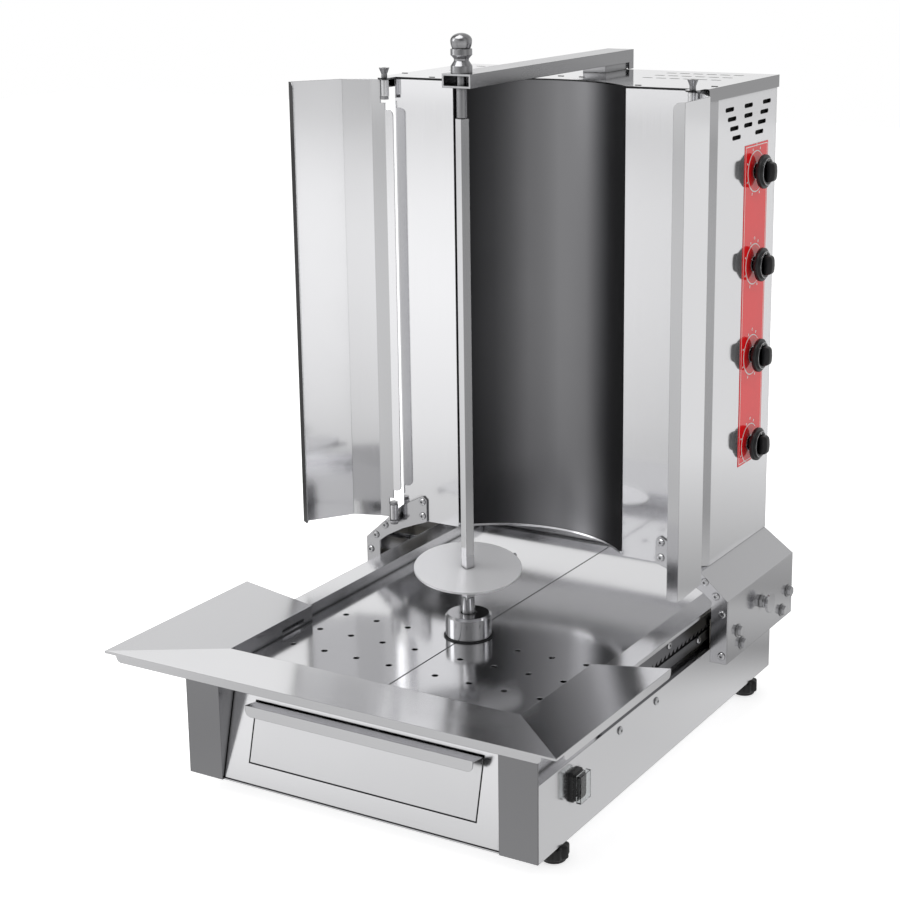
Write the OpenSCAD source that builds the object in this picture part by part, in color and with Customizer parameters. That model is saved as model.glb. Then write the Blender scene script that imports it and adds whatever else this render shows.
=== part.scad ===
// Vertical kebab grill: base with drawer and drip plates, heated column on toothed
// rails, two hinged wings, and a driven skewer held at the top by a pull pin.
// Units are millimetres. +Z is up, the front faces -Y, and the origin is the centre
// of the underside of the base box. The feet reach below it.

/* [Part] */
// Piece to draw

/* [Base] */
// Width of the base box
base_w = 500; // [440:1:560]
// Depth of the base box
base_d = 680; // [620:1:740]
// Height of the plain side panels
side_h = 97; // [85:1:105]
// Height of the rail ledges
rail_z = 155; // [150:1:165]
// Width of each rail ledge
rail_w = 32; // [28:1:38]
// Depth of the rack recess below each ledge
recess_d = 16; // [12:1:20]
// Height of the drip plates' top face
plate_z = 139; // [135:1:142]
// Thickness of folded sheet
sheet = 2; // [1.5:0.1:2.5]
// Width of each front post
post_w = 51; // [40:1:60]
// Height of the feet below the base
foot_h = 22; // [16:1:30]

/* [Apron] */
// How far the apron stands out past each side
apron_out = 63.5; // [50:0.5:75]
// How far the apron stands out past the front
apron_front = 74; // [60:1:85]
// Slope width of the apron at the sides
apron_slope_w = 106.5; // [90:0.5:120]
// Slope depth of the apron at the front
apron_slope_d = 112.5; // [95:0.5:125]
// Height of the apron's outer edge
apron_z = 175.5; // [172:0.5:182]
// Rise of the apron from its inner to its outer edge
apron_rise = 15.5; // [10:0.5:18]
// Height of the down-turned lip
lip_h = 11; // [8:0.5:16]
// Length of the apron's side arms behind the front edge
apron_arm = 286; // [240:1:320]

/* [Drip plates] */
// Spacing of the drain holes across
hole_step_x = 48.8; // [44:0.1:52]
// Spacing of the drain holes front to back
hole_step_y = 60; // [50:1:70]
// Diameter of the drain holes
drain_d = 8; // [5:0.5:10]

/* [Spindle] */
// Distance of the spindle axis in front of the base centre
spindle_y = 71; // [60:1:90]
// Diameter of the hub
hub_d = 60; // [54:1:66]
// Height of the hub above the drip plates
hub_h = 31; // [26:1:36]
// Diameter of the meat disc
disc_d = 138.6; // [120:0.1:160]
// Height of the meat disc above the hub
disc_lift = 62; // [50:0.5:80]
// Lean of the meat disc on its loose square hole
disc_lean = 9; // [0:0.5:12]
// Side of the square skewer
skewer_w = 11.8; // [11:0.1:13]
// Turn of the skewer at rest
skewer_turn = -25.4; // [-45:0.1:45]

/* [Column] */
// Width of the column across its sides
col_w = 476; // [430:1:500]
// Width of each front corner cut
col_cut_x = 20; // [12:1:28]
// Depth of each front corner cut
col_cut_y = 34.5; // [25:0.5:45]
// Depth of the column
col_d = 225.5; // [200:0.5:250]
// Height of the column's top
col_top = 831.5; // [815:0.5:900]
// Height of the front panels' lower edge
col_z = 211; // [205:1:220]
// Width of the glass opening
glass_w = 254; // [220:1:280]
// Depth of the glass curve
glass_sag = 56; // [40:1:65]
// Height of the cover's side flange
cover_flange = 16; // [12:1:20]

/* [Controls] */
// Diameter of the knobs
knob_d = 45; // [38:1:50]
// Spacing of the knobs
knob_step = 123; // [110:1:135]
// Height of the lowest knob
knob_z = 343; // [320:1:360]
// Width of the red label
label_w = 76; // [70:1:85]

/* [Wings] */
// Length of the wing's outer facet
wing_a = 74; // [60:1:85]
// Length of the wing's middle facet
wing_b = 40.4; // [34:0.1:48]
// Length of the wing's hinge facet
wing_c = 20.5; // [17:0.1:24]
// Depth of the wing's edge flange
wing_flange = 13.6; // [10:0.1:18]
// Turn of the left wing at rest, inwards
wing_turn_left = 0; // [0:1:40]
// Turn of the right wing at rest, inwards
wing_turn_right = 32.4; // [0:0.1:40]

/* [Arm] */
// Width of the top arm
arm_w = 40; // [38:1:50]
// Height of the top arm's section
arm_h = 17; // [15:1:22]
// Gap between the cover and the arm
arm_gap = 9.5; // [8:0.5:18]
// Diameter of the pull pin
pin_d = 13; // [12:0.5:16]

/* [Carriage] */
// How far the carriage plates stand out past the base
car_out = 31; // [26:1:36]
// Height of the carriage covers' fold
fold_z = 174; // [168:1:182]
// Height of the carriage legs' lower ends
leg_z = 87; // [80:1:92]

/* [Hidden] */
// Half sizes and shared positions
base_x = base_w / 2;
base_y = base_d / 2;
ledge_x = base_x - rail_w;
rack_x = base_x - recess_d;
flange_in = 10;
plate_t = 1.5;
plate_low = plate_z - plate_t;
edge = 3;
seat = 0.3;
over = 1;
bar_h = 10;
post_y = 50;

// Column positions
col_x = col_w / 2;
front_x = col_x - col_cut_x;
back_out = 2;
back_y = base_y + back_out;
front_y = back_y - col_d;
cut_y = front_y + col_cut_y;
glass_x = glass_w / 2;
glass_r = (glass_x * glass_x + glass_sag * glass_sag) / glass_sag / 2;
glass_cy = front_y + glass_sag - glass_r;
side_drop = 6;
side_z = col_z - side_drop;
flange_z = col_top - cover_flange;
plate_under = col_top - sheet;
glass_inset = 2;

// Wing hinges
hinge_out = 7;
hinge_ahead = 14.9;
hinge_x = front_x + hinge_out;
hinge_y = front_y - hinge_ahead;
hinge_r = 6;
hinge_pin_r = 3;
hinge_fit = 0.1;
sleeve_h = 22;
wing_t = 1.5;
wing_top_gap = 0.7;
wing_low_gap = 3.6;
wing_top = plate_under - wing_top_gap;
wing_low = col_z + wing_low_gap;
wing_ang_a = 34.2;
wing_ang_b = 71.2;
wing_ang_c = 84;
wing_ang_d = 95;
wing_d = 13;
wing_d_gap = 40;
pin_room = 9;
wing_corner_r = 8;
wing_edge_r = 9;
wing_edge_low_r = 4;

// Spindle positions
spin_y = -spindle_y;
hub_top = plate_z + hub_h;
disc_t = 2.5;
disc_top = hub_top + disc_lift;
skewer_short = 28;
skewer_top = col_top - skewer_short;
skewer_deep = 16;
skewer_low = hub_top - skewer_deep;
tip_r = 4;
tip_gap = 0.15;
tip_len = 22;
tip_bore = 22;
shoulder_gap = 1.5;
shoulder_z = skewer_top + shoulder_gap;
arm_low = col_top + arm_gap;
arm_top = arm_low + arm_h;

// Arm
arm_t = 2.5;
arm_x = arm_w / 2;
arm_ahead = 13;
arm_front = spin_y - arm_ahead;
arm_over = 14;
arm_back = back_y + arm_over;
arm_box = 45;
saddle_gap = 0.3;
saddle_l = 64;
arm_foot_l = 13;

// Carriage
car_x = base_x + car_out;
leg_w = 23.5;
leg_x = car_x - leg_w;
arch_t = 3;
arch_side = 40;
arch_in = front_x - arch_side;
arch_rise = 37;
arch_top = col_z + arch_rise;
arch_y = front_y - arch_t;
rear_in = 5;
rear_y = back_y - rear_in;

// Apron
apron_x = base_x + apron_out;
apron_in_x = apron_x - apron_slope_w;
apron_y = -base_y - apron_front;
apron_in_y = apron_y + apron_slope_d;
apron_in_z = apron_z - apron_rise;
apron_end = apron_y + apron_arm;
apron_t = 1.5;
lip_cut = 18;
lip_corner_r = 7;

// Drawer
draw_side = 87.5;
draw_x = base_x - draw_side;
draw_low = 30;
draw_top = 84;
draw_len = 490;
draw_back = -base_y + draw_len;
draw_t = 1.5;
draw_gap = 3.5;
face_gap = 1.6;
face_low = 28.5;
face_top = 100.8;
plinth_low_in = 3;
plinth_top_in = 35;
plinth_top = plate_low - sheet - bar_h;
plinth_lean = (plinth_top_in - plinth_low_in) / (plinth_top - sheet);
function plinth_y(z) = -base_y + plinth_low_in + (z - sheet) * plinth_lean;
draw_face = [[plinth_y(face_low), face_low], [plinth_y(face_top), face_top]];
lip_ahead = 22.5;
lip_up = 3.5;
hem_drop = 12.5;
draw_lip = draw_face[1] + [-lip_ahead, lip_up];
draw_hem = draw_lip - [0, hem_drop];

// Knobs
knob_last = 3;
knob_back = 66;
knob_y = back_y - knob_back;
knob_r = knob_d / 2;
knob_skirt = 9;
knob_grip_h = 17;
knob_grip_w = 11;
knob_grip_l = 30;
knob_gap = 2.6;
shaft_r = 3;
label_t = 0.6;
label_under = 25;
label_over = 36.5;
label_low = knob_z - label_under;
label_top = knob_z + knob_last * knob_step + label_over;

// Rocker switch
switch_in = 88;
switch_y = -base_y + switch_in;
switch_z = 63.5;
switch_w = 27;
switch_h = 37;
switch_t = 9;
rocker_w = 15;
rocker_h = 24;
rocker_tilt = 8;

// Round detail
smooth = 64;
round_n = 32;
wide = 2000;

// Left-hand offset of a folded line, with mitred corners
function unit(v) = v / norm(v);
function left_of(a, b) = [-unit(b - a)[1], unit(b - a)[0]];
function fold_at(p, i, t) =
    i == 0 ? p[0] + t * left_of(p[0], p[1]) :
    i == len(p) - 1 ? p[i] + t * left_of(p[i - 1], p[i]) :
    p[i] + t * (left_of(p[i - 1], p[i]) + left_of(p[i], p[i + 1]))
        / (1 + left_of(p[i - 1], p[i]) * left_of(p[i], p[i + 1]));
function ribbon(p, t) =
    concat(p, [for (i = [len(p) - 1 : -1 : 0]) fold_at(p, i, t)]);

// Folded sheet that runs along Y, from a section in X and Z
module run_y(points, from_y, to_y) {
    translate([0, to_y, 0])
        rotate([90, 0, 0])
            linear_extrude(to_y - from_y)
                polygon(points);
}

// Folded sheet that runs along X, from a section in Y and Z
module run_x(points, from_x, to_x) {
    translate([from_x, 0, 0])
        rotate([90, 0, 90])
            linear_extrude(to_x - from_x)
                polygon(points);
}

// Upright sheet, from a plan in X and Y
module run_z(points, from_z, to_z) {
    translate([0, 0, from_z])
        linear_extrude(to_z - from_z)
            polygon(points);
}

// Box between two corners
module block(low, high) {
    translate(low)
        cube(high - low);
}

// Both sides of the part
module both() {
    children();
    mirror([1, 0, 0])
        children();
}

// Round bar along X
module bar_x(pos, r, len, faces = smooth) {
    translate(pos)
        rotate([0, 90, 0])
            cylinder(r = r, h = len, $fn = faces);
}

// Round bar along Y
module bar_y(pos, r, len, faces = smooth) {
    translate(pos)
        rotate([-90, 0, 0])
            cylinder(r = r, h = len, $fn = faces);
}

// Long round-ended slot along X, cut downwards
module slot_flat(pos, len, w, deep) {
    r = w / 2;
    half = len / 2 - r;
    translate(pos) {
        translate([-half, -r, 0])
            cube([half + half, w, deep]);
        translate([-half, 0, 0])
            cylinder(r = r, h = deep, $fn = round_n);
        translate([half, 0, 0])
            cylinder(r = r, h = deep, $fn = round_n);
    }
}

// Long round-ended slot along Y, cut along X
module slot_side(pos, len, w, deep) {
    translate(pos)
        rotate([90, 0, 90])
            slot_flat([0, 0, 0], len, w, deep);
}

// Waste outside a rounded corner of a sheet that faces X, with the corner's sides
module corner_waste_x(pos, r, deep, sy, sz) {
    centre = pos - [0, sy * r, sz * r];
    far = pos + [0, sy * over, sz * over];
    difference() {
        block([pos[0], min(centre[1], far[1]), min(centre[2], far[2])],
            [pos[0] + deep, max(centre[1], far[1]), max(centre[2], far[2])]);
        bar_x([pos[0] - over, centre[1], centre[2]], r, deep + over + over);
    }
}

// The same for a sheet that faces Y
module corner_waste_y(pos, r, deep, sx, sz) {
    centre = pos - [sx * r, 0, sz * r];
    far = pos + [sx * over, 0, sz * over];
    difference() {
        block([min(centre[0], far[0]), pos[1], min(centre[2], far[2])],
            [max(centre[0], far[0]), pos[1] + deep, max(centre[2], far[2])]);
        bar_y([centre[0], pos[1] - over, centre[2]], r, deep + over + over);
    }
}

// Pan head screw that faces +X
head_r = 5;
head_h = 2.6;
head_low = 1.2;
socket_r = 1.9;
socket_d = 1.4;
module pan_x(pos) {
    translate(pos)
        rotate([0, 90, 0])
            pan_head();
}

// Pan head screw that faces -Y
module pan_front(pos) {
    translate(pos)
        rotate([90, 0, 0])
            pan_head();
}

module pan_head() {
    difference() {
        union() {
            cylinder(r = head_r, h = head_low, $fn = smooth);
            translate([0, 0, head_low])
                cylinder(r1 = head_r, r2 = head_r - head_low, h = head_h - head_low, $fn = smooth);
        }
        translate([0, 0, head_h - socket_d])
            cylinder(r = socket_r, h = socket_d + over, $fn = 6);
    }
}

// Folded side wall of the base: panel, recess, rail ledge and plate flange
side_section = [
    [base_x, 0], [base_x, side_h], [rack_x, side_h], [rack_x, rail_z - sheet],
    [base_x - sheet, rail_z - sheet], [base_x - sheet, rail_z - sheet - edge],
    [base_x, rail_z - sheet - edge], [base_x, rail_z], [ledge_x, rail_z],
    [ledge_x, plate_low], [ledge_x - flange_in, plate_low],
    [ledge_x - flange_in, plate_low - sheet], [ledge_x + sheet, plate_low - sheet],
    [ledge_x + sheet, rail_z - sheet], [rack_x - sheet, rail_z - sheet],
    [rack_x - sheet, side_h - sheet], [base_x - sheet, side_h - sheet],
    [base_x - sheet, 0]
];
switch_frame = 2;
switch_cut_w = rocker_w + switch_frame + switch_frame;
switch_cut_h = rocker_h + switch_frame + switch_frame;

module side_wall() {
    run_y(side_section, -base_y + sheet, base_y - sheet);
}

module base_side_left() {
    color("silver")
        mirror([1, 0, 0])
            side_wall();
}

module base_side_right() {
    color("silver")
        difference() {
            side_wall();
            block([base_x - sheet - over, switch_y - switch_cut_w / 2, switch_z - switch_cut_h / 2],
                [base_x + over, switch_y + switch_cut_w / 2, switch_z + switch_cut_h / 2]);
        }
}

foot_in_x = 12;
foot_in_y = 60;
foot_r = 15;
foot_top_r = 19;
stud_r = 4;
stud_up = 14;

foot_left_in = 85;
foot_spots = [
    [base_x - foot_in_x, -base_y + foot_in_y], [-base_x + foot_in_x, -base_y + foot_left_in],
    [base_x - foot_in_x, base_y - foot_in_y], [-base_x + foot_in_x, base_y - foot_in_y]
];
module foot_places() {
    for (p = foot_spots)
        translate([p[0], p[1], 0])
            children();
}

access_w = 200;
access_l = 260;
module access_plate() {
    color("silver")
        block([-access_w / 2, -access_l / 2, 0], [access_w / 2, access_l / 2, sheet]);
}

gland_in = 100;
gland_x = -base_x + gland_in;
gland_z = 60;
gland_r = 8;

module base_pan() {
    color("silver")
        difference() {
            union() {
                block([-base_x + sheet, -base_y + sheet, 0], [base_x - sheet, base_y - sheet, sheet]);
                block([-base_x, base_y - sheet, 0], [base_x, base_y, side_h]);
                block([-rack_x, base_y - sheet, side_h], [rack_x, base_y, rail_z]);
            }
            bar_y([gland_x, base_y - sheet - over, gland_z], gland_r, sheet + over + over);
            block([-access_w / 2 - seat, -access_l / 2 - seat, -over],
                [access_w / 2 + seat, access_l / 2 + seat, sheet + over]);
            foot_places()
                translate([0, 0, -over])
                    cylinder(r = stud_r, h = sheet + over + over, $fn = smooth);
        }
}

gland_nut_r = 13;
gland_nut_h = 6;
gland_dome_r = 10;
gland_dome_h = 12;

module cable_gland() {
    color("dimgray")
        difference() {
            union() {
                bar_y([gland_x, base_y - sheet - gland_nut_h, gland_z], gland_r, sheet + gland_nut_h);
                bar_y([gland_x, base_y - sheet - gland_nut_h, gland_z], gland_nut_r, gland_nut_h, 6);
                bar_y([gland_x, base_y, gland_z], gland_nut_r, gland_nut_h, 6);
                translate([gland_x, base_y + gland_nut_h, gland_z])
                    rotate([-90, 0, 0])
                        cylinder(r1 = gland_dome_r, r2 = gland_r, h = gland_dome_h, $fn = smooth);
            }
            bar_y([gland_x, base_y - sheet - gland_nut_h - over, gland_z], gland_r - edge,
                sheet + gland_nut_h + gland_nut_h + gland_dome_h + over + over);
        }
}

module front_post() {
    block([base_x - post_w, -base_y, 0], [base_x, -base_y + sheet, side_h]);
    block([base_x - post_w, -base_y, side_h - over], [base_x, -base_y + sheet, rail_z - sheet]);
    block([base_x - post_w, -base_y + sheet, sheet],
        [base_x - post_w + sheet, -base_y + post_y, plate_low - sheet - bar_h]);
}

module front_posts() {
    color("gray")
        both()
            front_post();
}

// Sloping panel between the posts, with the drawer opening
plinth_seam = 0.8;
plinth_x = base_x - post_w - plinth_seam;
module plinth() {
    color("silver")
        difference() {
            run_x(ribbon([[plinth_y(sheet + over), sheet + over], [plinth_y(plinth_top), plinth_top]],
                -sheet), -plinth_x, plinth_x);
            block([-draw_x - face_gap, -base_y - over, face_low - face_gap],
                [draw_x + face_gap, -base_y + post_y, face_top + draw_t + face_gap]);
        }
}

// Bars under the drip plates
bar_front_in = 50;
bar_back_in = 28;
bar_y_front = -base_y + bar_front_in;
bar_y_back = base_y - bar_back_in;
bar_w = 25;
module plate_bars() {
    color("silver") {
        block([-ledge_x + flange_in, bar_y_front, plate_low - bar_h],
            [ledge_x - flange_in, bar_y_front + bar_w, plate_low]);
        block([-ledge_x + flange_in, bar_y_back, plate_low - bar_h],
            [ledge_x - flange_in, base_y - sheet, plate_low]);
    }
}

// Toothed racks on the recess walls
rack_t = 4;
rack_front_in = 180;
rack_back_in = 110;
rack_from = -base_y + rack_front_in;
rack_to = base_y - rack_back_in;
rack_drop = 5;
rack_top = rail_z - sheet - rack_drop;
tooth_up = 29;
rack_tooth_z = side_h + tooth_up;
rack_tooth_h = 6;
rack_pitch = 12.5;
tooth_in = 45;
tooth_out = 20;
rack_n = floor((rack_to - rack_from - tooth_in - tooth_out) / rack_pitch);
strip_up = 6;
rack_back_low = side_h + strip_up;
module rack() {
    difference() {
        block([rack_x, rack_from, rack_tooth_z - rack_tooth_h], [rack_x + rack_t, rack_to, rack_top]);
        for (k = [0 : rack_n - 1])
            translate([0, rack_from + tooth_in + k * rack_pitch, 0])
                run_x([[0, rack_tooth_z - rack_tooth_h - over],
                    [rack_pitch - edge, rack_tooth_z - rack_tooth_h - over],
                    [rack_pitch - edge, rack_tooth_z]], rack_x - over, rack_x + rack_t + over);
    }
    block([rack_x, rack_from, rack_back_low],
        [rack_x + rack_t, rack_to, rack_tooth_z - rack_tooth_h - edge]);
}

module racks() {
    color("darkgray")
        both()
            rack();
}

rack_bolt_up_in = 188;
rack_bolt_low_in = 278.5;
rack_bolt_drop = 12;
rack_bolt_fall = 14.5;
rack_bolt_up = [rack_x + rack_t, rack_from + rack_bolt_up_in, rack_top - rack_bolt_drop];
rack_bolt_low = [rack_x + rack_t, rack_from + rack_bolt_low_in, rack_tooth_z - rack_bolt_fall];
side_screw_drop = 12;
side_screw_z = side_h - side_screw_drop;
side_screw_in = 205.5;
side_screw_step = 101.5;
module base_screws() {
    color("silver")
        both() {
            pan_x(rack_bolt_up);
            pan_x(rack_bolt_low);
            for (k = [0 : 1])
                pan_x([base_x, -base_y + side_screw_in + k * side_screw_step, side_screw_z]);
        }
}

// Feet with studs
lobe_n = 8;
lobe_r = 3.5;
pad_h = 4;
module foot() {
    translate([0, 0, -foot_h])
        cylinder(r = foot_r - over, h = pad_h + over, $fn = smooth);
    translate([0, 0, pad_h - foot_h])
        linear_extrude(foot_h - pad_h)
            union() {
                circle(r = foot_r, $fn = smooth);
                for (k = [0 : lobe_n - 1])
                    rotate([0, 0, (k + 1 / 2) * 360 / lobe_n])
                        translate([foot_top_r - lobe_r, 0])
                            circle(r = lobe_r, $fn = round_n);
            }
}

module feet() {
    color("black")
        foot_places()
            foot();
}

nut_r = 7.5;
nut_h = 6;
module foot_studs() {
    color("silver")
        foot_places() {
            cylinder(r = stud_r, h = stud_up, $fn = smooth);
            translate([0, 0, sheet])
                cylinder(r = nut_r, h = nut_h, $fn = 6);
        }
}

// Apron: sloping collar round the front and the sides
apron_side = [
    [apron_in_x, plate_z], [apron_in_x, apron_in_z], [apron_x, apron_z], [apron_x, apron_z - lip_h]
];
apron_face = [
    [apron_y, apron_z - lip_h], [apron_y, apron_z], [apron_in_y, apron_in_z], [apron_in_y, plate_z]
];
hand_slot_in = 131.5;
hand_slot_up = 6;
hand_slot_l = 50;
hand_slot_w = 7;
module apron_arm_right() {
    difference() {
        intersection() {
            run_y(ribbon(apron_side, -apron_t), apron_y, apron_end);
            run_z([[apron_in_x - over - over, apron_in_y - over - over], [apron_x, apron_y],
                [apron_x, apron_end], [apron_in_x - over - over, apron_end]], 0, apron_z + over);
        }
        block([apron_x - edge, apron_y - over, 0],
            [apron_x + over, apron_y + lip_cut, apron_z - edge]);
        corner_waste_x([apron_x - edge, apron_y + lip_cut, apron_z - lip_h], lip_corner_r,
            edge + over, -1, -1);
        corner_waste_x([apron_x - edge, apron_end, apron_z - lip_h], lip_corner_r, edge + over, 1, -1);
    }
}

module apron() {
    color("silver")
        difference() {
            union() {
                both()
                    apron_arm_right();
                difference() {
                    intersection() {
                        run_x(ribbon(apron_face, -apron_t), -apron_x, apron_x);
                        run_z([[-apron_x, apron_y], [apron_x, apron_y],
                            [apron_in_x - over - over, apron_in_y + over + over],
                            [-apron_in_x + over + over, apron_in_y + over + over]],
                            0, apron_z + over);
                    }
                    both()
                        block([apron_x - lip_cut, apron_y - over, 0],
                            [apron_x + over, apron_y + edge, apron_z - edge]);
                    both()
                        corner_waste_y([apron_x - lip_cut, apron_y - over, apron_z - lip_h], lip_corner_r,
                            edge + over, 1, -1);
                }
            }
            slot_side([-apron_in_x - edge, apron_in_y + hand_slot_in, plate_z + hand_slot_up],
                hand_slot_l, hand_slot_w, edge + edge);
        }
}

// Two perforated drip plates
plate_gap = 0.8;
plate_tuck = 23;
plate_end_in = 10;
plate_front = apron_in_y - plate_tuck;
plate_back = base_y - plate_end_in;
hole_first_x = 33.8;
hole_first_y = 17.2;
module drip_half() {
    difference() {
        block([plate_gap, plate_front, plate_low], [ledge_x - seat, plate_back, plate_z]);
        translate([0, spin_y, plate_low - over])
            cylinder(r = hub_d / 2 + seat, h = plate_t + over + over, $fn = smooth);
        for (i = [0 : 3])
            for (j = [i == 0 ? 1 : 0 : 2])
                translate([hole_first_x + i * hole_step_x, spin_y - hole_first_y - j * hole_step_y,
                    plate_low - over])
                    cylinder(r = drain_d / 2, h = plate_t + over + over, $fn = round_n);
    }
}

module drip_plate_right() {
    color("silver")
        drip_half();
}

module drip_plate_left() {
    color("silver")
        mirror([1, 0, 0])
            drip_half();
}

// Drive: bracket, gearbox, motor, hub
bracket_t = 3;
bracket_z = plate_low - sheet;
bracket_w = 100;
out_r = 8;
module motor_bracket() {
    color("silver")
        difference() {
            block([-rack_x + sheet + edge, spin_y - bracket_w / 2, bracket_z - bracket_t],
                [rack_x - sheet - edge, spin_y + bracket_w / 2, bracket_z]);
            translate([0, spin_y, bracket_z - bracket_t - over])
                cylinder(r = out_r + over, h = bracket_t + over + over, $fn = smooth);
        }
}

gear_w = 90;
gear_h = 40;
motor_r = 19;
motor_l = 130;
gear_top = bracket_z - bracket_t;
motor_z = gear_top - motor_r - over - seat;
out_deep = 30;
out_low = gear_top - out_deep;
module gear_motor() {
    color("dimgray") {
        difference() {
            block([-gear_w / 2, spin_y - gear_w / 2, gear_top - gear_h],
                [gear_w / 2, spin_y + gear_w / 2, gear_top]);
            translate([0, spin_y, out_low - over])
                cylinder(r = out_r + seat, h = wide, $fn = smooth);
        }
        bar_y([0, spin_y + gear_w / 2, motor_z], motor_r, motor_l);
        bar_y([0, spin_y + gear_w / 2, motor_z], motor_r + over, edge + edge);
    }
}

hub_wall = 3;
hub_r = hub_d / 2;
neck_r = 9;
boss_r = 20;
module hub_housing() {
    color("silver")
        difference() {
            union() {
                translate([0, spin_y, bracket_z])
                    cylinder(r = hub_r, h = hub_top - bracket_z - edge, $fn = smooth);
                translate([0, spin_y, hub_top - edge])
                    cylinder(r1 = hub_r, r2 = hub_r - edge, h = edge, $fn = smooth);
            }
            translate([0, spin_y, bracket_z - over])
                cylinder(r = hub_r - hub_wall, h = hub_top - bracket_z - hub_wall + over, $fn = smooth);
            translate([0, spin_y, bracket_z])
                cylinder(r = neck_r + over, h = wide, $fn = smooth);
        }
}

seal_w = 2;
seal_h = 1.5;
module hub_seal() {
    color("black")
        translate([0, spin_y, plate_z])
            difference() {
                cylinder(r = hub_r + seal_w, h = seal_h, $fn = smooth);
                translate([0, 0, -over])
                    cylinder(r = hub_r, h = seal_h + over + over, $fn = smooth);
            }
}

socket_gap = 0.1;
neck_up = 18;
module square_bar(w, from_z, to_z) {
    translate([0, spin_y, from_z])
        rotate([0, 0, skewer_turn])
            translate([-w / 2, -w / 2, 0])
                cube([w, w, to_z - from_z]);
}

module drive_coupling() {
    color("silver")
        difference() {
            translate([0, spin_y, 0]) {
                translate([0, 0, out_low])
                    cylinder(r = out_r, h = bracket_z + edge - out_low, $fn = smooth);
                translate([0, 0, bracket_z + edge])
                    cylinder(r = boss_r, h = skewer_low - bracket_z, $fn = smooth);
                translate([0, 0, bracket_z + edge])
                    cylinder(r = neck_r, h = hub_top + edge - bracket_z - edge, $fn = smooth);
                translate([0, 0, hub_top + edge])
                    cylinder(r1 = neck_r, r2 = neck_r - over, h = neck_up, $fn = smooth);
            }
            square_bar(skewer_w + socket_gap + socket_gap, skewer_low, wide);
        }
}

module skewer() {
    color("silver")
        difference() {
            square_bar(skewer_w, skewer_low, skewer_top);
            translate([0, spin_y, skewer_top - tip_bore])
                cylinder(r = tip_r + tip_gap, h = tip_bore + over, $fn = smooth);
        }
}

// Frame of the leaning disc, with its top centre as the origin
disc_lean_turn = 36;
module leaning() {
    translate([0, spin_y, disc_top])
        rotate([0, 0, disc_lean_turn])
            rotate([disc_lean, 0, 0])
                children();
}

module meat_disc() {
    color("silver")
        difference() {
            leaning()
                translate([0, 0, -disc_t])
                    cylinder(r = disc_d / 2, h = disc_t, $fn = smooth);
            square_bar(skewer_w + socket_gap + socket_gap, skewer_low, wide);
        }
}

collar_r = 13;
collar_h = 14;
screw_turn = 34;
screw_r = 2.5;
screw_l = 80.5;
screw_drop = disc_t + collar_h / 2;
module disc_collar() {
    color("silver")
        difference() {
            leaning()
                translate([0, 0, -disc_t - collar_h])
                    cylinder(r = collar_r, h = collar_h, $fn = smooth);
            square_bar(skewer_w + socket_gap + socket_gap, skewer_low, wide);
            leaning()
                translate([0, 0, -screw_drop])
                    rotate([0, 90, screw_turn])
                        cylinder(r = screw_r, h = collar_r + collar_r, $fn = smooth);
        }
}

screw_from = skewer_w / 2 + edge;
module disc_screw() {
    color("silver")
        leaning()
            translate([0, 0, -screw_drop])
                rotate([0, 90, screw_turn])
                    translate([0, 0, screw_from])
                        cylinder(r = screw_r, h = screw_l - screw_from, $fn = smooth);
}

// Drawer
runner_in = 18;
runner_front_in = 20;
runner_x = draw_x - runner_in;
runner_w = 12;
module drawer_runners() {
    color("silver")
        both()
            block([runner_x, -base_y + runner_front_in, sheet],
                [runner_x + runner_w, draw_back, draw_low - seat]);
}

draw_in = draw_x - draw_gap - draw_t - draw_gap;
box_low_in = 4;
box_top_in = 2;
module drawer_box() {
    color("silver") {
        block([-draw_in, draw_face[0][0] + box_low_in, draw_low], [draw_in, draw_back, draw_low + draw_t]);
        both()
            run_x([[draw_face[0][0] + box_low_in, draw_low], [draw_back, draw_low], [draw_back, draw_top],
                [draw_face[1][0] + box_top_in, draw_top]], draw_in - draw_t, draw_in);
        block([-draw_in, draw_back - draw_t, draw_low], [draw_in, draw_back, draw_top]);
    }
}

lug_w = 14;
lug_low_in = 2;
lug_top_in = 5;
module drawer_front() {
    color("silver") {
        run_x(ribbon([[draw_face[0][0], draw_face[0][1]], [draw_face[1][0], draw_face[1][1]]], -draw_t),
            -draw_x, draw_x);
        run_x([[draw_face[0][0] + lug_low_in, draw_low + draw_t],
            [draw_face[0][0] + lug_w, draw_low + draw_t],
            [draw_face[0][0] + lug_w, draw_face[0][1] + lug_w],
            [draw_face[0][0] + lug_top_in, draw_face[0][1] + lug_w]],
            -draw_in + draw_t + draw_t, draw_in - draw_t - draw_t);
    }
}

lip_in = 8;
tab_h = 10;
tab_top = draw_face[1] - draw_t * left_of(draw_face[0], draw_face[1])
    + seat * unit(draw_face[1] - draw_face[0]);
tab_low = tab_top - tab_h * unit(draw_face[1] - draw_face[0]);
module drawer_handle() {
    color("silver")
        difference() {
            run_x(ribbon([draw_hem, draw_lip, tab_top, tab_low], draw_t), -draw_x, draw_x);
            both()
                corner_waste_y([draw_x, draw_hem[0] - edge, draw_hem[1]], lip_in, edge + edge, 1, -1);
        }
}

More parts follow.
